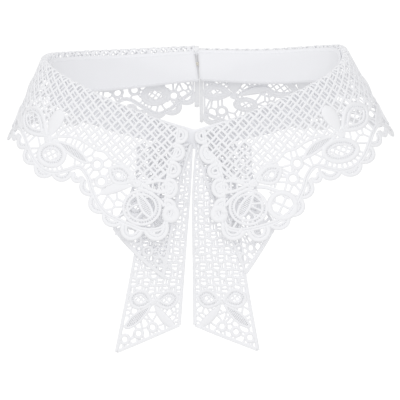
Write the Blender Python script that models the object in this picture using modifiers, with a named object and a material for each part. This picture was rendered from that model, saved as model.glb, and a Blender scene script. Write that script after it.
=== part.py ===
# A false collar of white guipure lace, filled out as if worn. Two lace falls turn over
# the upper edge of a plain cloth stand, which closes at the centre back with a hook and
# eye. Four lace tails hang from the stand at the centre front. X runs across, +Y is the
# back, +Z is up, and the origin is the centre of the neck at the height of its back edge.
# Sizes are in millimetres, and each mesh is scaled to metres as it is made.
import math

import bpy
import numpy
from mathutils import geometry

MM = 0.001
LEFT = -1
RIGHT = 1
SIDE_NAMES = {LEFT: "left", RIGHT: "right"}

# The neck, an oval seen from above. The stand's outer face follows it.
NECK_HALF_WIDTH = 81
NECK_HALF_DEPTH = 43
STEP_DEGREES = 6
BEYOND_BACK_DEGREES = 8
ANGLE_COUNT = 3001

# Walls, and the space between pieces that touch.
STAND_WALL = 1.3
LACE_WALL = 1.0
TAIL_WALL = 0.9
SEAM_GAP = 0.3

# The fall starts on the stand's outer face, rolls over and runs down and out.
ROLL_RADIUS = 1.6
ROLL_LENGTH = 5.0
SEAM_LENGTH = 3.0
ROLL_DROP = 1.7
CHART_OFFSET = 12.0

# The neck's stations, by degrees from the centre back. crest is the height of the lace's
# roll, lean the fall's angle from vertical, drop the stand's top below the crest and
# foot the height of the stand's lower edge.
STATION_COLUMNS = ("degrees", "crest", "lean", "drop", "foot")
STATIONS = {
    LEFT: [
        (0, 0.8, 18, 2.8, -20.0),
        (30, -0.6, 19, 3.2, -23.8),
        (60, -0.3, 22, 3.0, -24.0),
        (80, 0.0, 24, 3.0, -23.0),
        (100, -2.3, 22.5, 3.0, -24.5),
        (120, -8.0, 18, 3.0, -29.5),
        (150, -21.0, 13, 2.2, -38.5),
        (180, -37.0, 12, -1.5, -46.0),
    ],
    RIGHT: [
        (0, -0.7, 18, 0.8, -19.5),
        (30, -0.3, 20, 1.0, -20.8),
        (60, 3.2, 26, 1.5, -18.0),
        (80, 4.6, 29.5, 2.0, -17.5),
        (100, -0.5, 28.5, 2.5, -21.5),
        (120, -8.0, 22, 3.0, -29.0),
        (150, -21.0, 14, 2.2, -38.5),
        (180, -37.0, 12, -1.5, -46.0),
    ],
}

# The stand's ends at the centre back, across from the centre line, at top and foot.
STAND_ENDS = {LEFT: (-0.6, 2.3), RIGHT: (1.7, 3.2)}
STAND_ROWS = 3

# The lace's border line: how far round the fall from the centre front, and how far down
# the fall from the back neck's level. The rows run from the front neck edge down round
# the front corner, and along the hem to the centre back. Both sides share the corner.
BORDER_COLUMNS = ("from_front", "below")
FRONT_CORNER = [
    (14.0, 61.0),
    (14.6, 71.5),
    (14.4, 79.0),
    (14.6, 84.0),
    (17.2, 87.6),
    (22.0, 89.0),
    (28.0, 88.6),
]
BORDER = {
    LEFT: [(9.0, 38.0), (9.6, 45.0), (12.4, 53.0)] + FRONT_CORNER + [
        (33.8, 86.6),
        (40.8, 83.7),
        (47.0, 80.3),
        (51.3, 75.2),
        (55.2, 68.0),
        (58.0, 61.5),
        (62.5, 57.3),
        (69.2, 59.6),
        (76.0, 61.9),
        (82.6, 60.7),
        (88.4, 56.5),
        (93.8, 50.5),
        (99.0, 45.0),
        (106.0, 42.0),
        (114.0, 45.5),
        (124.0, 48.5),
        (137.0, 45.0),
        (149.0, 39.5),
        (158.0, 43.0),
        (170.0, 45.8),
        (184.0, 42.0),
        (197.0, 33.6),
        (208.4, 40.1),
        (215.8, 43.9),
        (222.7, 40.9),
        (229.0, 35.0),
        (236.6, 29.0),
    ],
    RIGHT: [(4.9, 39.0), (6.0, 46.5), (11.5, 54.0)] + FRONT_CORNER + [
        (35.5, 87.2),
        (43.6, 84.4),
        (49.6, 80.4),
        (53.4, 75.0),
        (57.3, 68.0),
        (60.2, 61.4),
        (64.6, 57.3),
        (71.2, 59.4),
        (77.8, 61.6),
        (84.2, 60.6),
        (89.8, 56.4),
        (94.8, 50.4),
        (99.8, 45.0),
        (106.5, 42.2),
        (114.0, 46.0),
        (124.0, 50.0),
        (137.0, 47.0),
        (149.0, 42.5),
        (158.0, 46.5),
        (170.0, 50.3),
        (184.0, 47.0),
        (194.5, 42.5),
        (203.0, 47.5),
        (212.0, 50.8),
        (221.0, 48.6),
        (232.0, 43.0),
    ],
}
BORDER_POINTS_PER_MM = 4
BORDER_THINNING = 4
SCALLOP_PITCH = 10.9
SCALLOP_DEPTH = 4.6
SCALLOP_BASE = 0.8
SCALLOP_SIDES = 6
SCALLOP_ROUNDNESS = 0.6

# Where each fall ends at the front neck edge and at the centre back, and the tape that
# binds its back edge down to a level below the back neck.
FRONT_END = {LEFT: 5.4, RIGHT: 2.6}
BACK_END = {LEFT: 0.5, RIGHT: 5.1}
TAPE_WIDTH = {LEFT: 2.6, RIGHT: 1.8}
TAPE_BELOW = {LEFT: 38.6, RIGHT: 48.5}
TAPE_STEPS_DOWN = 4
TAPE_STEPS_ACROSS = 2

# Open spaces over 4 mm in the lace: centre on the chart, half sizes along and down.
# The front and back ones lie where they are given, and the bow ones round each bow.
GAP_COLUMNS = ("from_front", "below", "half_along", "half_down")
GAP_SIDES = 8
GAP_TO_BORDER = 1.0
GAP_TO_GAP = 0.7
FRONT_GAPS = [
    (48.4, 53.4, 1.9, 2.2),
    (48.6, 58.9, 2.2, 1.9),
    (44.8, 63.4, 1.6, 1.8),
    (51.5, 69.2, 2.1, 2.2),
    (45.0, 76.0, 2.0, 2.3),
    (40.4, 75.2, 1.7, 1.8),
    (54.0, 60.9, 2.0, 2.1),
]
BACK_GAPS = {
    LEFT: [
        (211.5, 39.3, 1.5, 1.7),
        (215.5, 39.9, 1.5, 2.3),
        (219.9, 39.4, 1.9, 1.8),
        (218.8, 34.5, 2.2, 1.9),
        (224.4, 36.5, 1.9, 1.8),
        (230.4, 30.4, 1.7, 1.8),
        (202.4, 27.4, 2.3, 1.5),
        (202.4, 31.2, 1.8, 1.5),
    ],
    RIGHT: [
        (220.3, 36.3, 1.9, 1.8),
        (216.3, 43.6, 1.8, 2.2),
        (222.2, 45.8, 2.0, 1.2),
        (209.4, 26.2, 1.9, 1.5),
        (199.5, 32.3, 2.6, 1.8),
        (229.4, 38.4, 1.9, 1.3),
        (229.4, 29.3, 1.9, 1.4),
        (221.2, 29.6, 2.0, 1.5),
    ],
}
BOW_GAPS = [
    (-19.8, 2.9, 2.1, 1.8),
    (-24.6, 4.4, 2.3, 1.5),
    (-14.8, 7.7, 2.1, 1.7),
    (-13.6, 12.4, 2.0, 2.2),
    (-18.2, 11.0, 1.9, 1.7),
    (-23.4, 10.8, 2.2, 2.0),
    (-4.5, 15.8, 1.8, 1.4),
    (-0.3, 15.0, 1.8, 1.4),
    (3.4, 12.9, 2.0, 1.4),
    (6.0, 9.7, 2.3, 1.4),
    (7.4, 6.0, 2.7, 1.4),
    (6.6, 1.0, 2.9, 2.2),
]
BOW_COLUMNS = ("from_front", "below")
BOWS = {
    LEFT: [(82.7, 43.4), (128.2, 30.0), (174.2, 27.3)],
    RIGHT: [(82.7, 43.4), (128.2, 31.5), (174.2, 31.8)],
}

# Rows of the wall's mesh down the roll and the fall, and the room they keep to edges.
ROLL_ROWS = 4
FALL_ROW_STEP = 7.0
MESH_MARGIN = 1.7
FRONT_EDGE_DOWN = -2.0
CORNER_ROOM = 2.0
LEAST_STEP = 1.0
WELD = 1e-5

# The tails, seen from the front: height, and how far across the inner and the outer edge
# lie, then the heights where each edge ends at the slanted foot. layer counts forwards.
TAIL_COLUMNS = ("height", "inner", "outer")
TAILS = {
    "tail_long_left": {
        "layer": 0,
        "edges": [(-43, -1.2, -24), (-61, -2.0, -26), (-104, -5.2, -32.9), (-160, -9.3, -43.9)],
        "inner_foot": -143.1,
        "outer_foot": -158.8,
    },
    "tail_long_right": {
        "layer": 0,
        "edges": [(-43, 0.6, 20), (-61, -0.9, 21.5), (-114, -1.0, 27.5), (-160, -0.4, 35.5)],
        "inner_foot": -143.1,
        "outer_foot": -157.7,
    },
    "tail_short_left": {
        "layer": 1,
        "edges": [(-43, -1.6, -31), (-61, -6.9, -32), (-88.8, -11.9, -44.1), (-118, -17, -58)],
        "inner_foot": -116.4,
        "outer_foot": -88.8,
    },
    "tail_short_right": {
        "layer": 1,
        "edges": [(-43, 1.0, 30), (-61, 4.9, 31), (-88, 16.2, 43.3), (-116, 28.1, 58)],
        "inner_foot": -114.3,
        "outer_foot": -88,
    },
}
TAIL_LAYER_STEP = 1.65
TAIL_MESH_STEP = 5.0
TAIL_EDGE_STEP = 6.0
TAIL_END_STEPS = 8

# The gathers at the tails' tops: their height, half depth and width, fading downwards.
GATHER_COLUMNS = ("height", "half_depth", "width")
GATHERS = [
    (-160, 0.1, 24),
    (-110, 0.2, 18),
    (-80, 0.4, 13),
    (-60, 0.45, 10),
    (-43, 0.3, 8),
]
GATHER_SIDES = 4

# The tails' tops follow the neck's round, which fades out down to the lower level.
TAIL_TOP = -43
TAIL_FLAT_BELOW = -95

# The hook and eye, of round wire, on the stand's outer face.
WIRE_RADIUS = 0.4
WIRE_RESOLUTION = 2
CLOSING_HEIGHT = -9.9
HOOK = {
    "loop_x": -5.0,
    "loop_radius": 1.0,
    "half_gap": 0.5,
    "turn_x": 2.6,
    "turn_radius": 1.05,
    "bill_x": 0.6,
}
EYE = {"loop_x": 6.6, "loop_radius": 0.9, "bow_x": 4.0, "bow_radius": 1.5}

# The wires' round stretches: the degrees where each starts and stops, and its steps.
HOOK_LOOP_ARC = (0, 270, 6)
HOOK_TURN_ARC = (-60, 90, 5)
HOOK_BILL_ARC = (120, 150, 1)
EYE_LOOP_ARC = (180, -90, 6)
EYE_BOW_ARC = (90, 165, 4)

# Colours from the photograph: near white cloth and lace, and pale metal.
LACE_COLOUR = (0.83, 0.82, 0.80, 1)
CLOTH_COLOUR = (0.84, 0.83, 0.81, 1)
METAL_COLOUR = (0.72, 0.68, 0.58, 1)
CLOTH_ROUGHNESS = 0.85
METAL_ROUGHNESS = 0.35


def clear_scene():
    for thing in list(bpy.data.objects):
        bpy.data.objects.remove(thing, do_unlink=True)


def make_collection(name):
    collection = bpy.data.collections.new(name)
    bpy.context.scene.collection.children.link(collection)
    return collection


def make_material(name, colour, roughness, metallic):
    material = bpy.data.materials.new(name)
    material.use_nodes = True
    shader = material.node_tree.nodes["Principled BSDF"]
    shader.inputs["Base Color"].default_value = colour
    shader.inputs["Roughness"].default_value = roughness
    shader.inputs["Metallic"].default_value = metallic
    return material


def smooth_value(x, places, values):
    """A smooth curve through the values at the places, read at x."""
    places = numpy.asarray(places, float)
    values = numpy.asarray(values, float)
    slopes = numpy.gradient(values, places)
    x = numpy.clip(x, places[0], places[-1])
    i = numpy.clip(numpy.searchsorted(places, x) - 1, 0, len(places) - 2)
    step = places[i + 1] - places[i]
    s = (x - places[i]) / step
    start = (2 * s**3 - 3 * s**2 + 1) * values[i] + (s**3 - 2 * s**2 + s) * step * slopes[i]
    end = (3 * s**2 - 2 * s**3) * values[i + 1] + (s**3 - s**2) * step * slopes[i + 1]
    return start + end


def column(rows, names, name):
    """One named column of a table."""
    return [row[names.index(name)] for row in rows]


def read_table(rows, names, place_name, place, name):
    """A table's column as a smooth curve, read at a place along another column."""
    return float(smooth_value(place, column(rows, names, place_name), column(rows, names, name)))


def station(side, angle, name):
    return read_table(STATIONS[side], STATION_COLUMNS, "degrees", abs(math.degrees(angle)), name)


# Lengths round the neck. The fall leans out, so its chart is measured on an oval that
# lies CHART_OFFSET outside the neck's.
ANGLES = numpy.linspace(-math.radians(BEYOND_BACK_DEGREES), math.pi, ANGLE_COUNT)
NECK_X = NECK_HALF_WIDTH * numpy.sin(ANGLES)
NECK_Y = NECK_HALF_DEPTH * numpy.cos(ANGLES)
OUT_X = NECK_HALF_DEPTH * numpy.sin(ANGLES)
OUT_Y = NECK_HALF_WIDTH * numpy.cos(ANGLES)
TURN = numpy.unwrap(numpy.arctan2(OUT_X, OUT_Y))
STEPS = numpy.hypot(numpy.diff(NECK_X), numpy.diff(NECK_Y)) + CHART_OFFSET * numpy.diff(TURN)
FROM_BACK = numpy.concatenate([[0], numpy.cumsum(STEPS)])
FROM_BACK = FROM_BACK - numpy.interp(0, ANGLES, FROM_BACK)
HALF_ROUND = float(FROM_BACK[-1])


def angle_at(from_front):
    return float(numpy.interp(HALF_ROUND - from_front, FROM_BACK, ANGLES))


def crest_at(side, from_front):
    return station(side, angle_at(from_front), "crest")


def neck_point(side, angle, outwards, height):
    """A point at a distance outside the neck's oval."""
    out_x = NECK_HALF_DEPTH * math.sin(angle)
    out_y = NECK_HALF_WIDTH * math.cos(angle)
    size = math.hypot(out_x, out_y)
    x = NECK_HALF_WIDTH * math.sin(angle) + outwards * out_x / size
    y = NECK_HALF_DEPTH * math.cos(angle) + outwards * out_y / size
    return (side * x, y, height)


def fall_point(side, from_front, down):
    """The middle of a fall's wall. down is 0 where the roll ends and the fall begins."""
    angle = angle_at(from_front)
    lean = math.radians(station(side, angle, "lean"))
    crest = station(side, angle, "crest")
    start = SEAM_GAP + LACE_WALL / 2
    centre = start + ROLL_RADIUS
    level = crest - LACE_WALL / 2 - ROLL_RADIUS
    if down >= 0:
        outwards = centre + ROLL_RADIUS * math.cos(lean) + down * math.sin(lean)
        height = level + ROLL_RADIUS * math.sin(lean) - down * math.cos(lean)
    elif down >= -ROLL_LENGTH:
        turn = lean + (math.pi - lean) * (-down / ROLL_LENGTH)
        outwards = centre + ROLL_RADIUS * math.cos(turn)
        height = level + ROLL_RADIUS * math.sin(turn)
    else:
        outwards = start
        height = level + down + ROLL_LENGTH
    return neck_point(side, angle, outwards, height)


def down_from_level(side, from_front, below):
    """Turns a depth below the back neck's level into a depth below the roll."""
    return below + crest_at(side, from_front) - ROLL_DROP


def border_line(side):
    """The border line as close points, with its direction out of the lace."""
    rows = BORDER[side]
    along = column(rows, BORDER_COLUMNS, "from_front")
    below = column(rows, BORDER_COLUMNS, "below")
    chords = numpy.hypot(numpy.diff(along), numpy.diff(below))
    marks = numpy.concatenate([[0], numpy.cumsum(chords)])
    fine = numpy.linspace(0, marks[-1], int(marks[-1] * BORDER_POINTS_PER_MM))
    line = numpy.stack([smooth_value(fine, marks, along), smooth_value(fine, marks, below)], -1)
    tangent = numpy.gradient(line, axis=0)
    tangent /= numpy.linalg.norm(tangent, axis=1, keepdims=True)
    outward = numpy.stack([-tangent[:, 1], tangent[:, 0]], -1)
    return line, outward


def scalloped_edge(side):
    """The fall's outer edge: an arch on each stretch of the border line."""
    line, outward = border_line(side)
    steps = numpy.linalg.norm(numpy.diff(line, axis=0), axis=1)
    length = numpy.concatenate([[0], numpy.cumsum(steps)])
    count = round(length[-1] / SCALLOP_PITCH)
    pitch = length[-1] / count

    def read(values, place):
        place = min(max(place, 0), length[-1])
        return numpy.array([numpy.interp(place, length, values[:, k]) for k in range(2)])

    notches = []
    for k in range(count + 1):
        place = k * pitch
        here = read(line, place)
        normal = read(outward, place)
        across = (read(line, place - pitch / 2) + read(line, place + pitch / 2)) / 2
        hollow = max(0.0, float(numpy.dot(across - here, normal))) if 0 < k < count else 0.0
        notches.append(here + normal * (SCALLOP_BASE + hollow))
    edge = []
    for first, last in zip(notches, notches[1:]):
        chord = last - first
        normal = numpy.array([-chord[1], chord[0]]) / numpy.linalg.norm(chord)
        for i in range(SCALLOP_SIDES):
            turn = math.pi * i / SCALLOP_SIDES
            share = SCALLOP_ROUNDNESS * (1 - math.cos(turn)) / 2 + (1 - SCALLOP_ROUNDNESS) * turn / math.pi
            edge.append(first + chord * share + normal * SCALLOP_DEPTH * math.sin(turn))
    edge.append(notches[-1])
    return edge


def fall_outline(side):
    """The fall's whole outline on its chart, as from_front and down."""
    top = -ROLL_LENGTH - SEAM_LENGTH
    back = HALF_ROUND - BACK_END[side]
    front = FRONT_END[side]
    points = [(front, top), (front, -ROLL_LENGTH), (front, FRONT_EDGE_DOWN)]
    for along, below in scalloped_edge(side):
        along = min(along, back)
        points.append((along, down_from_level(side, along, below)))
    points[-1] = (back, points[-1][1])
    last_down = points[-1][1]
    for k in range(int(last_down // FALL_ROW_STEP), -1, -1):
        if last_down - FALL_ROW_STEP * k > LEAST_STEP:
            points.append((back, FALL_ROW_STEP * k))
    points += [(back, -ROLL_LENGTH * k / ROLL_ROWS) for k in range(1, ROLL_ROWS + 1)]
    points.append((back, top))
    first, last = front + CORNER_ROOM, back - CORNER_ROOM
    points += [(along, top) for along in reversed(fall_columns()) if first < along < last]
    return points


def fall_columns():
    count = round(180 / STEP_DEGREES)
    angles = [math.pi * k / count for k in range(count + 1)]
    return [HALF_ROUND - float(numpy.interp(angle, ANGLES, FROM_BACK)) for angle in reversed(angles)]


def distance_to(point, loop):
    """The shortest distance from a point to a closed outline."""
    start = numpy.asarray(loop, float)
    end = numpy.roll(start, -1, axis=0)
    way = end - start
    share = numpy.clip(((point - start) * way).sum(1) / (way * way).sum(1), 0, 1)
    return float(numpy.linalg.norm(start + way * share[:, None] - point, axis=1).min())


def is_inside(point, loop):
    x, y = point
    inside = False
    for (x0, y0), (x1, y1) in zip(loop, loop[1:] + loop[:1]):
        if (y0 > y) != (y1 > y) and x < x0 + (x1 - x0) * (y - y0) / (y1 - y0):
            inside = not inside
    return inside


def fall_gaps(side):
    """The gaps that lie inside the border line and apart from each other."""
    line, _ = border_line(side)
    inner = [tuple(point) for point in line[::BORDER_THINNING]]
    inner += [(HALF_ROUND, -ROLL_LENGTH), (0.0, -ROLL_LENGTH)]
    rows = [dict(zip(GAP_COLUMNS, row)) for row in FRONT_GAPS + BACK_GAPS[side]]
    for bow in [dict(zip(BOW_COLUMNS, row)) for row in BOWS[side]]:
        for row in [dict(zip(GAP_COLUMNS, row)) for row in BOW_GAPS]:
            row["from_front"] += bow["from_front"]
            row["below"] += bow["below"]
            rows.append(row)
    turns = [2 * math.pi * (k + 0.5) / GAP_SIDES for k in range(GAP_SIDES)]
    gaps = []
    for row in rows:
        loop = []
        for turn in turns:
            along = row["from_front"] + row["half_along"] * math.cos(turn)
            loop.append((along, row["below"] + row["half_down"] * math.sin(turn)))
        clear = all(is_inside(p, inner) and distance_to(p, inner) >= GAP_TO_BORDER for p in loop)
        apart = all(distance_to(p, other) >= GAP_TO_GAP for other in gaps for p in loop)
        if clear and apart:
            gaps.append(loop)
    return [[(a, down_from_level(side, a, b)) for a, b in loop] for loop in gaps]


def triangulate(outline, gaps, inner_points):
    """Fills an outline with triangles, leaving the gaps open."""
    points = list(outline)
    edges = []
    for loop in gaps:
        first = len(points)
        points += loop
        edges += [(first + k, first + (k + 1) % len(loop)) for k in range(len(loop))]
    for point in inner_points:
        near = min(distance_to(numpy.array(point), loop) for loop in [outline] + gaps)
        in_gap = any(is_inside(point, gap) for gap in gaps)
        if near > MESH_MARGIN and is_inside(point, outline) and not in_gap:
            points.append(point)
    face = list(range(len(outline)))
    result = geometry.delaunay_2d_cdt(points, edges, [face], 1, WELD)
    points, triangles = result[0], result[2]
    kept = []
    for triangle in triangles:
        centre = sum((points[i] for i in triangle[1:]), points[triangle[0]].copy()) / len(triangle)
        if not any(is_inside(centre, loop) for loop in gaps):
            kept.append(triangle)
    return [tuple(point) for point in points], kept


def add_sheet(name, points, faces, wall, material, collection):
    """A wall of even thickness about a surface."""
    mesh = bpy.data.meshes.new(name)
    mesh.from_pydata([(x * MM, y * MM, z * MM) for x, y, z in points], [], faces)
    mesh.materials.append(material)
    mesh.shade_smooth()
    sheet = bpy.data.objects.new(name, mesh)
    collection.objects.link(sheet)
    solidify = sheet.modifiers.new("Wall", "SOLIDIFY")
    solidify.thickness = wall * MM
    solidify.offset = 0
    solidify.use_even_offset = True
    return sheet


def add_grid(name, rows, wall, material, collection):
    """A wall about a surface that is given as rows of points of one length."""
    width = len(rows[0])
    points = [point for row in rows for point in row]
    faces = []
    for r in range(len(rows) - 1):
        for c in range(width - 1):
            first = r * width + c
            faces.append((first, first + 1, first + width + 1, first + width))
    return add_sheet(name, points, faces, wall, material, collection)


def make_fall(side, material, collection):
    outline = fall_outline(side)
    gaps = fall_gaps(side)
    deepest = max(down for _, down in outline)
    levels = [-ROLL_LENGTH * k / ROLL_ROWS for k in range(ROLL_ROWS + 1)]
    levels += list(numpy.arange(FALL_ROW_STEP, deepest, FALL_ROW_STEP))
    inner = [(along, down) for along in fall_columns() for down in levels]
    flat, faces = triangulate(outline, gaps, inner)
    points = [fall_point(side, along, down) for along, down in flat]
    return add_sheet("fall_" + SIDE_NAMES[side], points, faces, LACE_WALL, material, collection)


def make_tape(side, material, collection):
    """The tape that binds a fall's back edge, on the same surface."""
    near = HALF_ROUND - BACK_END[side] + SEAM_GAP
    width = TAPE_WIDTH[side]
    levels = [-ROLL_LENGTH - SEAM_LENGTH]
    levels += [-ROLL_LENGTH * k / ROLL_ROWS for k in range(ROLL_ROWS, -1, -1)]
    last = down_from_level(side, near, TAPE_BELOW[side])
    levels += [last * k / TAPE_STEPS_DOWN for k in range(1, TAPE_STEPS_DOWN + 1)]
    across = [near + width * k / TAPE_STEPS_ACROSS for k in range(TAPE_STEPS_ACROSS + 1)]
    rows = [[fall_point(side, along, down) for along in across] for down in levels]
    return add_grid("back_tape_" + SIDE_NAMES[side], rows, LACE_WALL, material, collection)


def make_stand(material, collection):
    """The cloth band, from its left end at the back round the front to its right end."""
    count = round(180 / STEP_DEGREES)
    rows = []
    for r in range(STAND_ROWS):
        share = r / (STAND_ROWS - 1)
        row = []
        for side in (LEFT, RIGHT):
            top_end, foot_end = STAND_ENDS[side]
            end = side * (top_end + (foot_end - top_end) * share)
            angles = [math.asin(end / NECK_HALF_WIDTH)]
            angles += [math.pi * k / count for k in range(1, count + 1)]
            half = []
            for angle in angles:
                top = station(side, angle, "crest") - station(side, angle, "drop")
                foot = station(side, angle, "foot")
                half.append(neck_point(side, angle, -STAND_WALL / 2, top + (foot - top) * share))
            row += half if side == LEFT else list(reversed(half[:-1]))
        rows.append(row)
    return add_grid("stand", rows, STAND_WALL, material, collection)


def tail_edge(name, which, height):
    return read_table(sorted(TAILS[name]["edges"]), TAIL_COLUMNS, "height", height, which)


def gather_at(height, name):
    return read_table(GATHERS, GATHER_COLUMNS, "height", height, name)


def tail_depth(name, across, height):
    """How far back a tail's wall lies, with the waves of its gathers."""
    half_depth = gather_at(height, "half_depth")
    width = gather_at(height, "width")
    first = NECK_HALF_DEPTH + SEAM_GAP + TAIL_WALL / 2
    wave = half_depth * (1 - math.cos(2 * math.pi * abs(across) / width))
    round_back = NECK_HALF_DEPTH * (1 - math.sqrt(1 - (across / NECK_HALF_WIDTH) ** 2))
    share = min(max((height - TAIL_FLAT_BELOW) / (TAIL_TOP - TAIL_FLAT_BELOW), 0), 1)
    share = share * share * (3 - 2 * share)
    return -(first + TAIL_LAYER_STEP * TAILS[name]["layer"] + wave - round_back * share)


def make_tail(name, material, collection):
    """A tail cut from flat lace: long edges, a slanted foot and a gathered top."""
    inner_foot = TAILS[name]["inner_foot"]
    outer_foot = TAILS[name]["outer_foot"]

    def long_edge(which, foot):
        count = max(2, round((TAIL_TOP - foot) / TAIL_EDGE_STEP))
        heights = [TAIL_TOP + (foot - TAIL_TOP) * k / count for k in range(count + 1)]
        return [(tail_edge(name, which, height), height) for height in heights]

    def short_edge(first, last):
        shares = [k / TAIL_END_STEPS for k in range(1, TAIL_END_STEPS)]
        return [(first[0] + (last[0] - first[0]) * s, first[1] + (last[1] - first[1]) * s) for s in shares]

    inner = long_edge("inner", inner_foot)
    outer = long_edge("outer", outer_foot)
    foot = short_edge(inner[-1], outer[-1])
    head = short_edge(outer[0], inner[0])
    outline = inner + foot + list(reversed(outer)) + head
    grid = []
    lowest = int(min(inner_foot, outer_foot) // TAIL_MESH_STEP)
    for height in [TAIL_MESH_STEP * k for k in range(lowest, int(TAIL_TOP // TAIL_MESH_STEP) + 1)]:
        ends = [tail_edge(name, "inner", height), tail_edge(name, "outer", height)]
        step = gather_at(height, "width") / GATHER_SIDES
        first, last = math.ceil(min(ends) / step), math.floor(max(ends) / step)
        grid += [(step * k, height) for k in range(first, last + 1)]
    flat, faces = triangulate(outline, [], grid)
    points = [(x, tail_depth(name, x, z), z) for x, z in flat]
    return add_sheet(name, points, faces, TAIL_WALL, material, collection)


def arc(centre_x, centre_z, radius, start, stop, count):
    """Points on a round stretch, by degrees, as across and height."""
    turns = [math.radians(start + (stop - start) * k / count) for k in range(count + 1)]
    return [(centre_x + radius * math.cos(t), centre_z + radius * math.sin(t)) for t in turns]


def add_wire(name, half, material, collection):
    """A round wire through the half's points and back through their mirror image."""
    whole = half + [(x, y, -z) for x, y, z in reversed(half)]
    data = bpy.data.curves.new(name, "CURVE")
    data.dimensions = "3D"
    data.bevel_depth = WIRE_RADIUS * MM
    data.bevel_resolution = WIRE_RESOLUTION
    data.use_fill_caps = True
    spline = data.splines.new("POLY")
    spline.points.add(len(whole) - 1)
    for point, (x, y, z) in zip(spline.points, whole):
        point.co = (x * MM, y * MM, (z + CLOSING_HEIGHT) * MM, 1)
    data.materials.append(material)
    wire = bpy.data.objects.new(name, data)
    collection.objects.link(wire)
    return wire


def make_hook(material, collection):
    """Two sewing loops, a double shank and the bill that turns back over it."""
    face = NECK_HALF_DEPTH + SEAM_GAP + WIRE_RADIUS
    near = HOOK["half_gap"]
    radius = HOOK["loop_radius"]
    turn = HOOK["turn_radius"]
    half = [(x, face, z) for x, z in arc(HOOK["loop_x"], near + radius, radius, *HOOK_LOOP_ARC)]
    half.append((HOOK["turn_x"], face, near))
    for out, back in arc(0, 0, turn, *HOOK_TURN_ARC):
        half.append((HOOK["turn_x"] + out, face + turn + back, near))
    half.append((HOOK["bill_x"], face + 2 * turn, near))
    half += [(x, face + 2 * turn, z) for x, z in arc(HOOK["bill_x"], 0, near, *HOOK_BILL_ARC)]
    return add_wire("hook", half, material, collection)


def make_eye(material, collection):
    """Two sewing loops and the bow that the hook's bill holds."""
    face = NECK_HALF_DEPTH + SEAM_GAP + WIRE_RADIUS
    lift = HOOK["turn_radius"]
    bow = EYE["bow_radius"]
    radius = EYE["loop_radius"]
    half = [(x, face, z) for x, z in arc(EYE["loop_x"], bow + radius, radius, *EYE_LOOP_ARC)]
    half += [(x, face + lift, z) for x, z in arc(EYE["bow_x"], 0, bow, *EYE_BOW_ARC)]
    return add_wire("eye", half, material, collection)


def main():
    clear_scene()
    collection = make_collection("false_collar")
    lace = make_material("lace", LACE_COLOUR, CLOTH_ROUGHNESS, 0)
    cloth = make_material("cloth", CLOTH_COLOUR, CLOTH_ROUGHNESS, 0)
    metal = make_material("metal", METAL_COLOUR, METAL_ROUGHNESS, 1)
    make_stand(cloth, collection)
    for side in (LEFT, RIGHT):
        make_fall(side, lace, collection)
        make_tape(side, cloth, collection)
    for name in TAILS:
        make_tail(name, lace, collection)
    make_hook(metal, collection)
    make_eye(metal, collection)


main()
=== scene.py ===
import math

import bmesh
import bpy
import numpy as np
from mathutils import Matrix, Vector, geometry


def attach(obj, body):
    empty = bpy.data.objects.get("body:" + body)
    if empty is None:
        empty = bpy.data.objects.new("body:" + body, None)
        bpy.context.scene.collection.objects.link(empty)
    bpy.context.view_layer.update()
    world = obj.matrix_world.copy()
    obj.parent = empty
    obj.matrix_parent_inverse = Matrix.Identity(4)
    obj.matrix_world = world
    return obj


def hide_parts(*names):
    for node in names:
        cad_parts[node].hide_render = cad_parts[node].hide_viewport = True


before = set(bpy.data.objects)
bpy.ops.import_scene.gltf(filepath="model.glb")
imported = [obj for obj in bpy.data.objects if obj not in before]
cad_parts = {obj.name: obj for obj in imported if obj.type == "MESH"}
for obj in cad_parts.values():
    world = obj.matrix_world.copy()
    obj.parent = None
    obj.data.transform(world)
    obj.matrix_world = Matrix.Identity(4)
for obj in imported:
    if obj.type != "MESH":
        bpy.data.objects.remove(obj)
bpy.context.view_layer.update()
print("frame loaded")

left, right = -1, 1
sideNames = {left: "left", right: "right"}
toMetres = 0.001

# The collar's form in millimetres, as in the CAD part
collarForm = {
    "neckHalfWidth": 81,
    "neckHalfDepth": 43,
    "chartOffset": 12,
    "rollRadius": 1.6,
    "rollLength": 5.0,
    "rollDrop": 1.7,
    "seamLength": 3.0,
    "laceWall": 1.0,
    "seamGap": 0.3,
    "standWall": 1.3,
    "swayDepth": 0.35,
    "swayLength": 41,
}

# Degrees from the centre back, height of the roll, lean of the fall, drop of the stand's top, its foot
stationColumns = ("degrees", "crest", "lean", "drop", "foot")
stations = {
    left: [
        (0, 0.8, 18, 2.8, -20.0),
        (30, -0.6, 19, 3.2, -23.8),
        (60, -0.3, 22, 3.0, -24.0),
        (80, 0.0, 24, 3.0, -23.0),
        (100, -2.3, 22.5, 3.0, -24.5),
        (120, -8.0, 18, 3.0, -29.5),
        (150, -21.0, 13, 2.2, -38.5),
        (180, -37.0, 12, -1.5, -46.0),
    ],
    right: [
        (0, -0.7, 18, 0.8, -19.5),
        (30, -0.3, 20, 1.0, -20.8),
        (60, 3.2, 26, 1.5, -18.0),
        (80, 4.6, 29.5, 2.0, -17.5),
        (100, -0.5, 28.5, 2.5, -21.5),
        (120, -8.0, 22, 3.0, -29.0),
        (150, -21.0, 14, 2.2, -38.5),
        (180, -37.0, 12, -1.5, -46.0),
    ],
}


def smoothValue(x, places, values):
    places, values = np.asarray(places, float), np.asarray(values, float)
    slopes = np.gradient(values, places)
    x = np.clip(x, places[0], places[-1])
    i = np.clip(np.searchsorted(places, x) - 1, 0, len(places) - 2)
    step = places[i + 1] - places[i]
    s = (x - places[i]) / step
    start = (2 * s**3 - 3 * s**2 + 1) * values[i] + (s**3 - 2 * s**2 + s) * step * slopes[i]
    end = (3 * s**2 - 2 * s**3) * values[i + 1] + (s**3 - s**2) * step * slopes[i + 1]
    return start + end


def station(side, angle, name):
    rows = np.array(stations[side])
    return smoothValue(np.degrees(np.abs(angle)), rows[:, 0], rows[:, stationColumns.index(name)])


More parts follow.
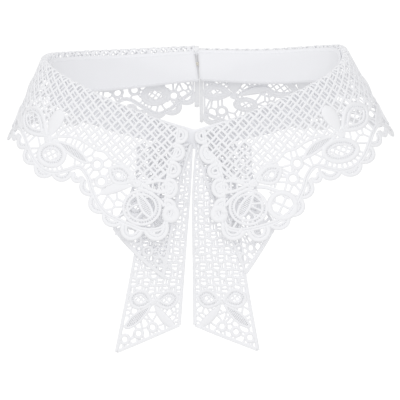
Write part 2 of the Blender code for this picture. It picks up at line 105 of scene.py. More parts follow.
# Lengths round the neck: the chart that the lace is drawn on
neckAngles = np.linspace(math.radians(-8), math.pi, 3001)
neckAcross = collarForm["neckHalfWidth"] * np.sin(neckAngles)
neckBack = collarForm["neckHalfDepth"] * np.cos(neckAngles)
neckTurn = np.unwrap(np.arctan2(
    collarForm["neckHalfDepth"] * np.sin(neckAngles), collarForm["neckHalfWidth"] * np.cos(neckAngles)))
neckSteps = np.hypot(np.diff(neckAcross), np.diff(neckBack)) + collarForm["chartOffset"] * np.diff(neckTurn)
fromBack = np.concatenate([[0], np.cumsum(neckSteps)])
fromBack = fromBack - np.interp(0, neckAngles, fromBack)
halfRound = float(fromBack[-1])


def angleAt(fromFront):
    return np.interp(halfRound - np.asarray(fromFront, float), fromBack, neckAngles)


def crestAt(side, fromFront):
    return station(side, angleAt(fromFront), "crest")


def neckPoint(side, angle, outwards, height):
    outX = collarForm["neckHalfDepth"] * np.sin(angle)
    outY = collarForm["neckHalfWidth"] * np.cos(angle)
    size = np.hypot(outX, outY)
    x = collarForm["neckHalfWidth"] * np.sin(angle) + outwards * outX / size
    y = collarForm["neckHalfDepth"] * np.cos(angle) + outwards * outY / size
    return np.stack([side * x, y, height + 0 * x], -1)


# Takes chart points (from the front, below the back neck's level, lift) to the fall's surface
def bendFall(side, flat):
    form = collarForm
    angle = angleAt(flat[:, 0])
    lean = np.radians(station(side, angle, "lean"))
    crest = station(side, angle, "crest")
    down = flat[:, 1] + crest - form["rollDrop"]
    run = np.maximum(down, 0)
    sway = form["swayDepth"] * np.sin(2 * np.pi * flat[:, 0] / form["swayLength"]) * np.clip(run / 40, 0, 1)
    turn = lean + (np.pi - lean) * np.clip(-down / form["rollLength"], 0, 1)
    radius = form["rollRadius"] + flat[:, 2] + sway
    centre = form["seamGap"] + form["laceWall"] / 2 + form["rollRadius"]
    outwards = centre + radius * np.cos(turn) + run * np.sin(lean)
    height = crest - form["laceWall"] / 2 - form["rollRadius"] + radius * np.sin(turn)
    height += -run * np.cos(lean) + np.minimum(down + form["rollLength"], 0)
    return neckPoint(side, angle, outwards, height) * toMetres


# Lines on the chart
def lengthsAlong(points):
    return np.concatenate([[0], np.cumsum(np.linalg.norm(np.diff(points, axis=0), axis=1))])


def spaced(points, step, closed=False):
    points = np.asarray(points, float)
    if closed:
        points = np.vstack([points, points[:1]])
    marks = lengthsAlong(points)
    count = max(4 if closed else 2, int(round(marks[-1] / step)) + 1)
    fine = np.linspace(0, marks[-1], count)
    made = np.stack([np.interp(fine, marks, points[:, k]) for k in range(points.shape[1])], -1)
    return made[:-1] if closed else made


def smoothLine(points, step=0.7):
    points = np.asarray(points, float)
    marks = lengthsAlong(points)
    fine = np.linspace(0, marks[-1], max(3, int(marks[-1] / step) + 1))
    return np.stack([smoothValue(fine, marks, points[:, k]) for k in range(points.shape[1])], -1)


def normalsOf(points, closed=False):
    if closed:
        tangent = np.roll(points, -1, axis=0) - np.roll(points, 1, axis=0)
    else:
        tangent = np.gradient(points, axis=0)
    tangent = tangent / np.maximum(np.linalg.norm(tangent, axis=1, keepdims=True), 1e-9)
    return np.stack([-tangent[:, 1], tangent[:, 0]], -1)


def insetLoop(outline, distance):
    x, y = outline[:, 0], outline[:, 1]
    area = np.sum(x * np.roll(y, -1) - np.roll(x, -1) * y)
    return outline + normalsOf(outline, True) * distance * (1 if area > 0 else -1)


def isInside(points, loop):
    x, y = points[:, 0][:, None], points[:, 1][:, None]
    x0, y0 = loop[:, 0], loop[:, 1]
    x1, y1 = np.roll(x0, -1), np.roll(y0, -1)
    rise = np.where(np.abs(y1 - y0) < 1e-12, 1e-12, y1 - y0)
    crossing = ((y0 > y) != (y1 > y)) & (x < x0 + (x1 - x0) * (y - y0) / rise)
    return crossing.sum(1) % 2 == 1


def distanceBetween(points, others):
    best = np.full(len(points), 1e9)
    for start in range(0, len(others), 400):
        part = others[start:start + 400]
        far = np.linalg.norm(points[:, None, :2] - part[None, :, :2], axis=2)
        best = np.minimum(best, far.min(1))
    return best


# A petal's middle line, bowed to one side, its half width along it and its sideways direction
def petalLine(base, tip, width, bend, fullest, blunt, count):
    base, tip = np.asarray(base, float), np.asarray(tip, float)
    axis = tip - base
    sideways = np.array([-axis[1], axis[0]]) / np.linalg.norm(axis)
    share = (1 - np.cos(np.linspace(0, np.pi, count))) / 2
    middle = base + axis * share[:, None] + sideways * (4 * bend * share * (1 - share))[:, None]
    return middle, width / 2 * np.sin(np.pi * share**fullest) ** blunt, sideways


def petalOutline(base, tip, width, bend=0.0, fullest=1.25, blunt=0.75):
    middle, half, sideways = petalLine(base, tip, width, bend, fullest, blunt, 22)
    across = sideways * half[:, None]
    return np.vstack([middle + across, (middle - across)[::-1][1:-1]])


def ovalOutline(centre, halfAlong, halfDown, count=30):
    turn = np.linspace(0, 2 * np.pi, count, endpoint=False)
    return np.stack([centre[0] + halfAlong * np.cos(turn), centre[1] + halfDown * np.sin(turn)], -1)


# The kinds of thread that the lace is worked with
threadKinds = {
    "net": {"halfWidth": 0.76, "halfThickness": 0.42, "sides": 6, "step": 1.5},
    "bar": {"halfWidth": 0.48, "halfThickness": 0.32, "sides": 5, "step": 1.6},
    "tailNet": {"halfWidth": 0.80, "halfThickness": 0.45, "sides": 6, "step": 1.5},
    "tailBar": {"halfWidth": 0.60, "halfThickness": 0.36, "sides": 5, "step": 1.6},
    "bride": {"halfWidth": 0.60, "halfThickness": 0.42, "sides": 6, "step": 1.0},
    "fine": {"halfWidth": 0.36, "halfThickness": 0.30, "sides": 4, "step": 1.2},
    "cord": {"halfWidth": 0.66, "halfThickness": 0.52, "sides": 6, "step": 0.8},
    "satin": {"halfWidth": 1.0, "halfThickness": 0.50, "sides": 8, "step": 0.8},
    "leaf": {"halfWidth": 1.0, "halfThickness": 0.24, "sides": 10, "step": 0.7},
}


def newLace():
    return {"strands": {kind: [] for kind in threadKinds}, "blocked": []}


def addStrand(lace, kind, points, lift=0.0, closed=False, widths=None):
    step = threadKinds[kind]["step"]
    points = np.asarray(points, float)
    if points.shape[1] == 2:
        points = np.column_stack([points, np.full(len(points), lift)])
    if widths is not None:
        points = np.column_stack([points, np.broadcast_to(widths, len(points))])
    points = spaced(points, step, closed)
    radius = points[:, 3] if widths is not None else np.ones(len(points))
    lace["strands"][kind].append({"points": points[:, :3], "radius": radius, "closed": closed})


def block(lace, outline):
    lace["blocked"].append(np.asarray(outline, float))


def isBlocked(lace, points):
    found = np.zeros(len(points), bool)
    for outline in lace["blocked"]:
        low, high = outline.min(0), outline.max(0)
        near = ((points[:, :2] >= low) & (points[:, :2] <= high)).all(1) & ~found
        if near.any():
            found[near] = isInside(points[near], outline)
    return found


# Keeps the stretches of each line that lie where the test allows
def addClipped(lace, kind, lines, test, lift=0.0, width=1.0, step=0.5):
    fine = [spaced(line, step) for line in lines]
    allowed = test(np.vstack(fine))
    start = 0
    for line in fine:
        mask = allowed[start:start + len(line)]
        start += len(line)
        edges = np.flatnonzero(np.diff(np.concatenate([[0], mask.astype(int), [0]])))
        for first, last in zip(edges[::2], edges[1::2]):
            if last - first >= 3:
                kept = line[max(first - 1, 0):last + 1]
                addStrand(lace, kind, kept, lift, widths=width)


# A ground of crossing threads with a mid bar in every mesh, turned by turns
def addGround(lace, test, box, pitch, angle, kinds=("net", "bar"), lift=0.1, wave=0.16, stray=0.0):
    (low0, low1), (high0, high1) = box
    c, s = math.cos(angle), math.sin(angle)
    middle = np.array([(low0 + high0) / 2, (low1 + high1) / 2])
    reach = math.hypot(high0 - low0, high1 - low1) / 2
    cells = int(reach / pitch) + 1

    def place(u, w):
        u, w = np.broadcast_arrays(u, w)
        return np.stack([middle[0] + u * c - w * s, middle[1] + u * s + w * c], -1)

    along = np.arange(-cells * pitch, cells * pitch + 0.1, pitch / 6)
    along = along[(along > -reach) & (along < reach)]
    lines, bars = [], []
    for k in range(-cells, cells + 1):
        sway = wave * np.sin(np.pi * along / pitch + np.pi * (k % 2))
        sway = sway + stray * np.sin(0.83 * along + 2.3 * k) * np.sin(0.31 * along + 1.7 * k)
        lines.append(place(along, k * pitch + sway))
        lines.append(place(k * pitch + sway, along))
    for i in range(-cells, cells):
        for j in range(-cells, cells):
            here = place((i + 0.5) * pitch, (j + 0.5) * pitch)
            if not (low0 - pitch < here[0] < high0 + pitch and low1 - pitch < here[1] < high1 + pitch):
                continue
            span = np.array([0.0, 0.5, 1.0]) * pitch
            if (i + j) % 2:
                bars.append(place(i * pitch + span, (j + 0.5) * pitch))
            else:
                bars.append(place((i + 0.5) * pitch, j * pitch + span))
    addClipped(lace, kinds[0], lines, test, lift)
    if kinds[1]:
        addClipped(lace, kinds[1], bars, test, -lift)


# Open cells packed into what is left free, and the brides between them
brideForm = {
    "seed": 7,
    "wallStep": 1.2,
    "wallReach": 3.0,
    "lengths": (0.6, 9.0),
    "shortStep": 0.8,
    "shortLeast": 0.5,
}


def addBrides(lace, test, box, edges, starts=(), leastRoom=1.35, mostRoom=2.15, grain=0.8):
    wallStep = brideForm["wallStep"]
    walls = [spaced(edge, wallStep) for edge in edges]
    walls = np.vstack(walls + [spaced(outline, wallStep, True) for outline in lace["blocked"]])
    (low0, low1), (high0, high1) = box
    gridX, gridY = np.meshgrid(np.arange(low0, high0, grain), np.arange(low1, high1, grain))
    rng = np.random.default_rng(brideForm["seed"])
    spots = np.stack([gridX.ravel(), gridY.ravel()], -1)
    spots = spots + rng.uniform(-0.3, 0.3, spots.shape) * grain
    spots = spots[test(spots)]
    if not len(spots):
        return
    near = walls[distanceBetween(walls, spots) < brideForm["wallReach"]]
    toWall = distanceBetween(spots, near)
    toCell = np.full(len(spots), 1e9)
    cells = [np.array(p, float) for p in starts if test(np.array([p], float))[0]]
    for cell in cells:
        toCell = np.minimum(toCell, np.linalg.norm(spots - cell, axis=1))
    while True:
        room = np.minimum(np.minimum(toWall, toCell / 2), mostRoom + 0.001 * toWall)
        best = int(room.argmax())
        if room[best] < leastRoom:
            break
        cells.append(spots[best])
        toCell = np.minimum(toCell, np.linalg.norm(spots - spots[best], axis=1))
    points = [Vector(cell) for cell in cells] + [Vector(p[:2]) for p in near]
    result = geometry.delaunay_2d_cdt(points, [], [], 0, 1e-4)
    verts, faces, origins = result[0], result[2], result[3]
    isCell = [any(o < len(cells) for o in group) for group in origins]
    owners = {}
    for n, face in enumerate(faces):
        for a, b in zip(face, list(face[1:]) + [face[0]]):
            if isCell[a] == isCell[b]:
                owners.setdefault((min(a, b), max(a, b)), []).append(n)

    def joint(face):
        wall = [v for v in face if not isCell[v]]
        if wall:
            return np.array(verts[wall[0]])
        return sum(np.array(verts[v]) for v in face) / 3

    for (a, b), two in owners.items():
        if len(two) < 2:
            continue
        if isCell[a]:
            first, last = joint(faces[two[0]]), joint(faces[two[1]])
        else:
            sides = [v for face in two for v in faces[face] if v not in (a, b)]
            if not all(isCell[v] for v in sides):
                continue
            first, last = np.array(verts[a]), np.array(verts[b])
        least, most = brideForm["lengths"]
        if least < np.linalg.norm(last - first) < most and test(((first + last) / 2)[None])[0]:
            addStrand(lace, "bride", [first, last])


# Short brides over the gaps that are too narrow for a cell
def addShortBrides(lace, test, edges, most):
    walls = [spaced(outline, brideForm["shortStep"], True) for outline in lace["blocked"]]
    for n, outline in enumerate(walls):
        others = np.vstack(walls[n + 1:] + edges)
        for spot in outline[::3]:
            near = np.linalg.norm(others - spot, axis=1)
            other = others[near.argmin()]
            if brideForm["shortLeast"] < near.min() < most and test(((spot + other) / 2)[None])[0]:
                addStrand(lace, "bride", [spot, other])


# A padded band: the room that it takes, and the share of it that its thread fills
def addSatinBand(lace, points, halfWidth, share):
    line = smoothLine(points)
    addStrand(lace, "satin", line, 0.25, widths=halfWidth * share)
    across = normalsOf(line) * halfWidth
    block(lace, np.vstack([line + across, (line - across)[::-1]]))


# A thin layer of thread that closes the pits between two bands
def addBacking(lace, line, halfWidth, lift=-0.1, closed=False):
    addStrand(lace, "leaf", line, lift, closed, halfWidth)


# Every loop: the cord inside its band, the bars between them, and the mesh in its opening
loopForm = {
    "cordInside": 1.25,
    "barStep": 1.7,
    "backing": 0.85,
    "backingInside": 0.3,
    "backingDrop": 0.45,
    "meshTurn": 0.6,
}


def addLoop(lace, outline, band, lift, mesh):
    form = loopForm
    block(lace, outline)
    loop = spaced(outline, 0.6, True)
    addStrand(lace, "satin", insetLoop(loop, band / 2), lift, True, band / 2)
    inner = insetLoop(loop, band + form["cordInside"])
    addStrand(lace, "cord", inner, lift, True)
    count = max(6, int(lengthsAlong(loop)[-1] / form["barStep"]))
    outer, near = spaced(insetLoop(loop, band * 0.8), 0.1, True), spaced(inner, 0.1, True)
    for k in range(count):
        ends = [line[int(k * len(line) / count)] for line in (outer, near)]
        addStrand(lace, "fine", ends, lift + 0.05)
    under = insetLoop(loop, band + form["backingInside"])
    addBacking(lace, under, form["backing"], lift - form["backingDrop"], True)
    addMesh(lace, inner, mesh, form["meshTurn"], "bar")


def addMesh(lace, inner, pitch, turn, kind):
    box = (inner.min(0), inner.max(0))
    addGround(lace, lambda p: isInside(p, inner), box, pitch, turn, (kind, None), 0.0, 0.0)


# A loop with one band and a wide mesh
def addRoundLoop(lace, outline, band, lift=0.3):
    block(lace, outline)
    loop = spaced(outline, 0.6, True)
    addStrand(lace, "satin", insetLoop(loop, band / 2), lift, True, band / 2)
    addMesh(lace, insetLoop(loop, band + 0.2), 4.8, 0.5, "cord")


def addLeaf(lace, base, tip, width, bend=0.0, lift=0.3, fullest=1.25, blunt=0.75):
    block(lace, petalOutline(base, tip, width, bend, fullest, blunt))
    count = max(10, int(np.linalg.norm(np.asarray(tip, float) - base) / 0.5))
    middle, half = petalLine(base, tip, width, bend, fullest, blunt, count)[:2]
    addStrand(lace, "leaf", middle, lift, widths=np.maximum(half, 0.25))


# A pod: a rim, a sunk leaf in it and bars over the leaf
podForm = {
    "shape": (1.4, 0.55),
    "rimInside": 0.6,
    "rimHalf": 0.75,
    "leafLess": 1.4,
    "leafDrop": 0.85,
}


def addPod(lace, base, tip, width, bend=0.0, lift=0.25):
    form = podForm
    outline = petalOutline(base, tip, width, bend, *form["shape"])
    block(lace, outline)
    loop = spaced(outline, 0.5, True)
    addStrand(lace, "satin", insetLoop(loop, form["rimInside"]), lift, True, form["rimHalf"])
    addLeaf(lace, base, tip, width - form["leafLess"], bend, lift - form["leafDrop"], *form["shape"])
    for k in range(3, len(loop) // 2 - 2, 2):
        addStrand(lace, "fine", [loop[k], loop[-k]], lift)


def addRing(lace, centre, outer=3.8, hole=1.9, lift=0.25, slant=0.0):
    middle, half = (outer + hole) / 2, (outer - hole) / 2
    rim, loop = ovalOutline(centre, outer - 0.15, outer - 0.15), ovalOutline(centre, middle, middle)
    for ring in (rim, loop):
        ring[:, 0] += slant * (ring[:, 1] - centre[1])
    block(lace, rim)
    addStrand(lace, "satin", loop, lift, True, half)


# A knot: a cord coiled over a small leaf
knotForm = {"turns": 2.6, "start": 0.35, "edge": 0.5, "drop": 0.4}


def addKnot(lace, centre, radius, lift=0.6):
    form = knotForm
    block(lace, ovalOutline(centre, radius - 0.2, radius - 0.2))
    share = np.linspace(0, 1, 44)
    turn = share * 2 * np.pi * form["turns"]
    reach = form["start"] + (radius - form["start"] - form["edge"]) * share
    coil = np.stack([centre[0] + reach * np.cos(turn), centre[1] + reach * np.sin(turn)], -1)
    addStrand(lace, "cord", coil, lift)
    ends = [(centre[0] + across, centre[1]) for across in (-0.3, 0.3)]
    addStrand(lace, "leaf", ends, lift - form["drop"], widths=[radius * 0.9] * 2)


# The scalloped border: two cords along the line, and an arch on each stretch between notches
scallopForm = {
    "pitch": 10.9,
    "depth": 4.8,
    "base": 0.6,
    "roundness": 0.6,
    "cords": (-1.05, 0.2),
    "cordHalf": 0.64,
    "innerDrop": 3.15,
    "backingDrop": 2.1,
    "outerHalf": 1.0,
    "innerHalf": 0.6,
    "backingHalf": 0.8,
    "holes": 9,
    # Down and across of the first notches, on the front edge
    "frontNotches": [(42.5, 9), (51.5, 11), (60.5, 14), (71.5, 14.6), (84.0, 14.6), (88.8, 26.5),
                     (84.9, 38.0)],
    # Their arches are two bold cords: how far in, half width and lift of each
    "boldCords": ((0.1, 1.15, 0.45), (2.35, 0.75, 0.4)),
    "boldPast": 35,
    # The two arches at the bottom corner are half rounds, and deeper
    "deepArches": {5: 7.6, 6: 7.2},
}


def borderLine(rows):
    marks = lengthsAlong(np.array(rows, float))
    fine = np.linspace(0, marks[-1], int(marks[-1] * 4))
    line = np.stack([smoothValue(fine, marks, np.array(rows)[:, k]) for k in range(2)], -1)
    return line, normalsOf(line)


def addBorder(lace, rows):
    form = scallopForm
    line, outward = borderLine(rows)
    length = lengthsAlong(line)
    marks = [0.0]
    for down, across in form["frontNotches"]:
        marks.append(length[np.argmin(np.hypot(line[:, 0] - across, line[:, 1] - down))])
    count = round((length[-1] - marks[-1]) / form["pitch"])
    marks += list(np.linspace(marks[-1], length[-1], count + 1)[1:])

    def read(values, place):
        place = min(max(place, 0), length[-1])
        return np.array([np.interp(place, length, values[:, k]) for k in range(2)])

    for shift in form["cords"]:
        addStrand(lace, "satin", line + outward * shift, 0.4, widths=form["cordHalf"])
    notches = []
    for k, mark in enumerate(marks):
        here, normal = read(line, mark), read(outward, mark)
        across = (read(line, mark - form["pitch"] / 2) + read(line, mark + form["pitch"] / 2)) / 2
        hollow = max(0.0, float(np.dot(across - here, normal))) if 0 < k < len(marks) - 1 else 0.0
        notches.append(here + normal * (form["base"] + hollow))
        if hollow > 1.2:
            addStrand(lace, "satin", [here, notches[-1]], 0.2, widths=[0.8, 0.8])
    turn = np.linspace(0, np.pi, 26)
    share = form["roundness"] * (1 - np.cos(turn)) / 2 + (1 - form["roundness"]) * turn / np.pi

    for k, (first, last) in enumerate(zip(notches, notches[1:])):
        chord = last - first
        normal = np.array([-chord[1], chord[0]]) / np.linalg.norm(chord)

        def arch(narrow, height, base=0.0):
            along = (0.5 + (share - 0.5) * narrow)[:, None]
            return first + chord * along + normal * (base + height * np.sin(turn))[:, None]

        if k < len(form["frontNotches"]):
            middle, reach = (first + last) / 2, np.linalg.norm(chord) / 2
            depth = form["deepArches"].get(k, form["depth"])
            past = 0 if k in form["deepArches"] else form["boldPast"]
            spin = np.radians(np.linspace(-past, 180 + past, 30))
            for edge, half, lift in form["boldCords"]:
                across, out = reach - edge - half + 0.2, depth - edge - half
                along = chord / np.linalg.norm(chord) * (across * np.cos(spin))[:, None]
                ring = middle + along + normal * (out * np.sin(spin))[:, None]
                addStrand(lace, "satin", ring, lift, widths=half)
            continue
        outer = arch(0.9, form["depth"] - form["outerHalf"])
        inner = arch(0.52, form["depth"] - form["innerDrop"], 0.1)
        addStrand(lace, "satin", outer, 0.3, widths=form["outerHalf"])
        addStrand(lace, "satin", inner, 0.25, widths=form["innerHalf"])
        addBacking(lace, arch(0.72, form["depth"] - form["backingDrop"]), form["backingHalf"])
        for n in range(1, form["holes"]):
            i = int(round(n * (len(turn) - 1) / form["holes"]))
            addStrand(lace, "fine", [outer[i], inner[i]], 0.35)


def turned(point, degrees):
    c, s = math.cos(math.radians(degrees)), math.sin(math.radians(degrees))
    return np.array([point[0] * c - point[1] * s, point[0] * s + point[1] * c])


# The bow at the side: a loop, an ear, a pod and a round loop on one knot
sideBowForm = {
    "turn": 0,
    "loopTip": (23.5, -12.4),
    "loopWidth": 15.4,
    "loopBand": 2.3,
    "loopMesh": 3.0,
    "earTip": (-5.4, -15.8),
    "earWidth": 9.0,
    "roundCentre": (-3.8, 8.4),
    "roundHalf": (8.6, 7.4),
    "roundBand": 2.6,
    "roundMesh": 2.6,
    "podTip": (-25.0, 11.0),
    "podWidth": 5.8,
    "knotRadius": 2.7,
}


def addSideBow(lace, form):
    knot = np.array(form["knot"], float)

    def at(point):
        return knot + turned(point, form["turn"])

    addKnot(lace, knot, form["knotRadius"])
    loop = petalOutline(at((0.6, -1.0)), at(form["loopTip"]), form["loopWidth"], -1.0, 1.2, 0.65)
    addLoop(lace, loop, form["loopBand"], 0.3, form["loopMesh"])
    addLeaf(lace, at((-0.8, -1.4)), at(form["earTip"]), form["earWidth"], 0.8, 0.3, 1.5, 0.42)
    if form["podTip"]:
        addPod(lace, at((-1.8, 0.4)), at(form["podTip"]), form["podWidth"], 1.2)
    outline = ovalOutline(at(form["roundCentre"]), *form["roundHalf"])
    addLoop(lace, outline, form["roundBand"], 0.35, form["roundMesh"])


# The bow at the front corner, with its round loop, pod and curls, and a leaf or a second round loop
frontBowForm = {
    "knot": (31.2, 63.6),
    "knotRadius": 2.6,
    "loopTip": (15.8, -7.4),
    "loopWidth": 11.0,
    "loopBand": 2.0,
    "loopMesh": 3.0,
    "leafTip": (19.5, 7.4),
    "leafWidth": 5.2,
    "upperBand": [(1.6, 2.2), (6.5, 2.8), (13.0, 5.4)],
    "upperBandHalf": 1.3,
    "upperRound": (14.4, 12.8),
    "upperRoundHalf": (8.0, 8.2),
    "upperRoundBand": 2.8,
    "roundCentre": (-3.2, 13.0),
    "roundHalf": (10.4, 9.8),
    "podTip": (-8.8, 18.6),
    "podWidth": 5.8,
    "ribbonTip": (-20.6, 2.0),
    "ribbonWidth": 7.8,
    "ribbonBars": (-5.2, -8.6, -12.0),
    "eye": (-15.6, 2.0),
    "lowerBand": [(-0.8, 2.6), (-7.0, 5.0), (-12.2, 8.6), (-15.2, 12.0)],
    "lowerBandHalf": 1.25,
    "bandShare": 0.75,
    "curl": (-18.6, 16.2),
}


# Adds the bow and returns the rim of its round loop, which the brides reach
def addFrontBow(lace, side):
    form = frontBowForm
    knot = np.array(form["knot"])
    addKnot(lace, knot, form["knotRadius"])
    loop = petalOutline(knot + (0.6, -0.9), knot + form["loopTip"], form["loopWidth"], 0.8, 1.2)
    addLoop(lace, loop, form["loopBand"], 0.3, form["loopMesh"])
    if side == left:
        addLeaf(lace, knot + (1.6, 1.8), knot + form["leafTip"], form["leafWidth"], -1.4)
    else:
        addSatinBand(lace, knot + np.array(form["upperBand"]), form["upperBandHalf"], form["bandShare"])
        upper = ovalOutline(knot + form["upperRound"], *form["upperRoundHalf"])
        addRoundLoop(lace, upper, form["upperRoundBand"])
    ribbon = petalOutline(knot + (-1.2, 1.0), knot + form["ribbonTip"], form["ribbonWidth"], 0.0, 1.35)
    block(lace, ribbon)
    addStrand(lace, "satin", insetLoop(ribbon, 0.9), 0.3, True, 0.95)
    for across in form["ribbonBars"]:
        addStrand(lace, "bride", [knot + (across, -1.0), knot + (across, 5.0)])
    addRing(lace, knot + form["eye"], 2.7, 0.9)
    addSatinBand(lace, knot + np.array(form["lowerBand"]), form["lowerBandHalf"], form["bandShare"])
    addRing(lace, knot + form["curl"], 4.9, 1.4, 0.35)
    addPod(lace, knot + (0.4, 4.2), knot + form["podTip"], form["podWidth"])
    rim = ovalOutline(knot + form["roundCentre"], *form["roundHalf"], count=40)
    addStrand(lace, "satin", insetLoop(rim, 0.75), 0.25, True, 0.75)
    addStrand(lace, "cord", insetLoop(rim, 2.9), 0.25, True)
    for ends in zip(insetLoop(rim, 1.2), insetLoop(rim, 2.6)):
        addStrand(lace, "fine", ends, 0.15)
    return rim


# The part of the border round the front corner, which both falls share
frontCorner = [
    (14.0, 61.0), (14.6, 71.5), (14.4, 79.0), (14.6, 84.0), (17.2, 87.6), (22.0, 89.0), (28.0, 88.6),
]

# Each fall: its border line, where it ends, its bows, and the ground's lower edge
fallForm = {
    left: {
        "border": [(8.2, 33.0), (9.0, 38.0), (9.6, 45.0), (12.4, 53.0)] + frontCorner + [
            (33.8, 86.6), (40.8, 83.7), (47.0, 80.3), (51.3, 75.2), (55.2, 68.0), (58.0, 61.5), (62.5, 57.3),
            (69.2, 59.6), (76.0, 61.9), (82.6, 60.7), (88.4, 56.5), (93.8, 50.5), (99.0, 45.0), (106.0, 42.0),
            (114.0, 45.5), (124.0, 48.5), (137.0, 45.0), (149.0, 39.5), (158.0, 43.0), (170.0, 45.8),
            (184.0, 42.0), (197.0, 33.6), (208.4, 40.1), (215.8, 43.9), (222.7, 40.9), (229.0, 35.0),
            (236.6, 29.0),
        ],
        "frontEnd": 5.4,
        "backEnd": 0.5,
        "bows": [
            {"knot": (82.9, 43.5)},
            {"knot": (128.2, 30.0)},
            {"knot": (174.2, 27.3), "turn": 6},
            {"knot": (217.8, 22.8), "loopTip": (15.0, -5.0), "loopWidth": 9.0, "podTip": None},
        ],
        "rings": [(224.8, 31.6), (201.5, 27.5), (191.5, 29.0), (53.0, 54.7), (50.0, 63.8)],
        "groundAfter": [(224.0, 18.5), (237.0, 17.0)],
        "flat": (0.245, 0.086),
        "area": 0.0125,
    },
    right: {
        "border": [(4.0, 33.5), (4.9, 39.0), (6.0, 46.5), (11.5, 54.0)] + frontCorner + [
            (35.5, 87.2), (43.6, 84.4), (49.6, 80.4), (53.4, 75.0), (57.3, 68.0), (60.2, 61.4), (64.6, 57.3),
            (71.2, 59.4), (77.8, 61.6), (84.2, 60.6), (89.8, 56.4), (94.8, 50.4), (99.8, 45.0), (106.5, 42.2),
            (114.0, 46.0), (124.0, 50.0), (137.0, 47.0), (149.0, 42.5), (158.0, 46.5), (170.0, 50.3),
            (184.0, 47.0), (194.5, 42.5), (203.0, 47.5), (212.0, 50.8), (221.0, 48.6), (232.0, 43.0),
        ],
        "frontEnd": 2.6,
        "backEnd": 5.1,
        "bows": [
            {"knot": (81.5, 41.2), "loopTip": (21.5, -11.5), "earTip": (-6.8, -15.5), "earWidth": 9.4,
             "roundCentre": (-2.5, 9.2), "roundHalf": (10.2, 7.2), "podTip": (-22.5, 10.6)},
            {"knot": (128.2, 31.5)},
            {"knot": (174.2, 31.8), "turn": 6},
            {"knot": (214.6, 31.6), "loopTip": (18.8, -1.8), "loopWidth": 11.6, "earTip": (-2.4, -12.5),
             "roundCentre": (-6.8, 5.8), "roundHalf": (7.4, 5.0), "roundBand": 1.4, "podTip": (-22.0, -5.6)},
        ],
        "rings": [(221.6, 41.8), (55.0, 54.5), (52.0, 62.5)],
        "groundAfter": [(220.0, 22.0), (232.5, 20.0)],
        "flat": (0.245, 0.092),
        "area": 0.0132,
    },
}
# The ground's lower edge: at the front, then before and after each side bow's knot
groundForm = {
    "pitch": 4.4,
    "edgeHalf": 0.75,
    "front": [(12.6, 53.0), (16.5, 58.5), (21.5, 61.6), (26.5, 62.4), (31.2, 61.5), (37.1, 55.0),
              (44.5, 52.5), (50.0, 47.7), (53.9, 47.1), (60.9, 43.5), (67.8, 41.4), (76.7, 41.7)],
    "beforeBow": [(-24.5, 1.2), (-21.8, 0.1), (-14.9, -2.0), (-6.0, -1.7)],
    "afterBow": [(0.0, 0.0), (6.0, -4.0), (13.0, -8.6), (17.0, -8.8)],
}
# Round the front rings the cells lie here, and elsewhere they are packed
openCells = [
    (73.7, 42.9), (67.8, 44.4), (62.9, 46.3), (58.4, 47.9), (53.9, 50.1), (57.4, 51.5), (68.3, 51.3),
    (70.8, 48.9), (74.7, 46.6), (68.8, 55.9), (64.3, 54.8), (58.9, 56.0), (54.9, 60.6), (48.5, 53.8),
    (48.5, 58.8), (45.0, 63.5), (46.0, 67.4), (42.1, 66.7), (51.5, 69.3), (45.0, 76.0), (40.5, 75.0),
]
seamEdge = collarForm["rollDrop"] - collarForm["rollLength"] - collarForm["seamLength"]


def lowerEdge(form):
    edge = list(groundForm["front"])
    for n, bow in enumerate(form["bows"]):
        for points in (groundForm["beforeBow"] if n else [], groundForm["afterBow"]):
            edge += [tuple(np.array(bow["knot"]) + turned(p, bow.get("turn", 0) / 2)) for p in points]
    edge += form["groundAfter"]
    return smoothLine([p for n, p in enumerate(edge) if all(p[0] > q[0] for q in edge[:n])], 1.0)


def drawFall(side):
    form = fallForm[side]
    lace = newLace()
    line, outward = borderLine(form["border"])
    back = halfRound - form["backEnd"]
    rim = addFrontBow(lace, side)
    for bow in form["bows"]:
        addSideBow(lace, {**sideBowForm, **bow})
    for centre in form["rings"]:
        addRing(lace, centre)
    lower = lowerEdge(form)
    places = np.linspace(form["frontEnd"], back, 120)
    upper = np.stack([places, seamEdge - crestAt(side, places)], -1)
    frontSide = line[(line[:, 0] < 20) & (line[:, 1] < groundForm["front"][0][1])]
    groundLoop = np.vstack([upper[::-1], frontSide, lower])
    shore = line - outward * 0.9
    reach = np.vstack([upper[::-1], shore])

    def onGround(points):
        return isInside(points, groundLoop) & ~isBlocked(lace, points)

    def clear(points):
        return ~isBlocked(lace, points) & isInside(points, reach)

    def free(points):
        return isInside(points, reach) & ~isInside(points, groundLoop) & ~isBlocked(lace, points)

    box = (groundLoop.min(0), groundLoop.max(0))
    addGround(lace, onGround, box, groundForm["pitch"], math.pi / 4)
    addClipped(lace, "satin", [lower], clear, 0.2, groundForm["edgeHalf"])
    addShortBrides(lace, free, [line - outward * 1.1, lower], 2.9)
    box = (np.array([line[:, 0].min(), 10.0]), line.max(0))
    addBrides(lace, free, box, [lower, shore, rim, insetLoop(rim, 2.4)], openCells)
    for place, bottom in ((form["frontEnd"] + 0.5, 33.0), (back - 0.5, float(line[-1][1]) + 1.0)):
        levels = np.linspace(seamEdge - float(crestAt(side, place)), bottom, 60)
        addStrand(lace, "satin", [(place, level) for level in levels], 0.1, widths=0.55)
    addBorder(lace, form["border"])
    return lace


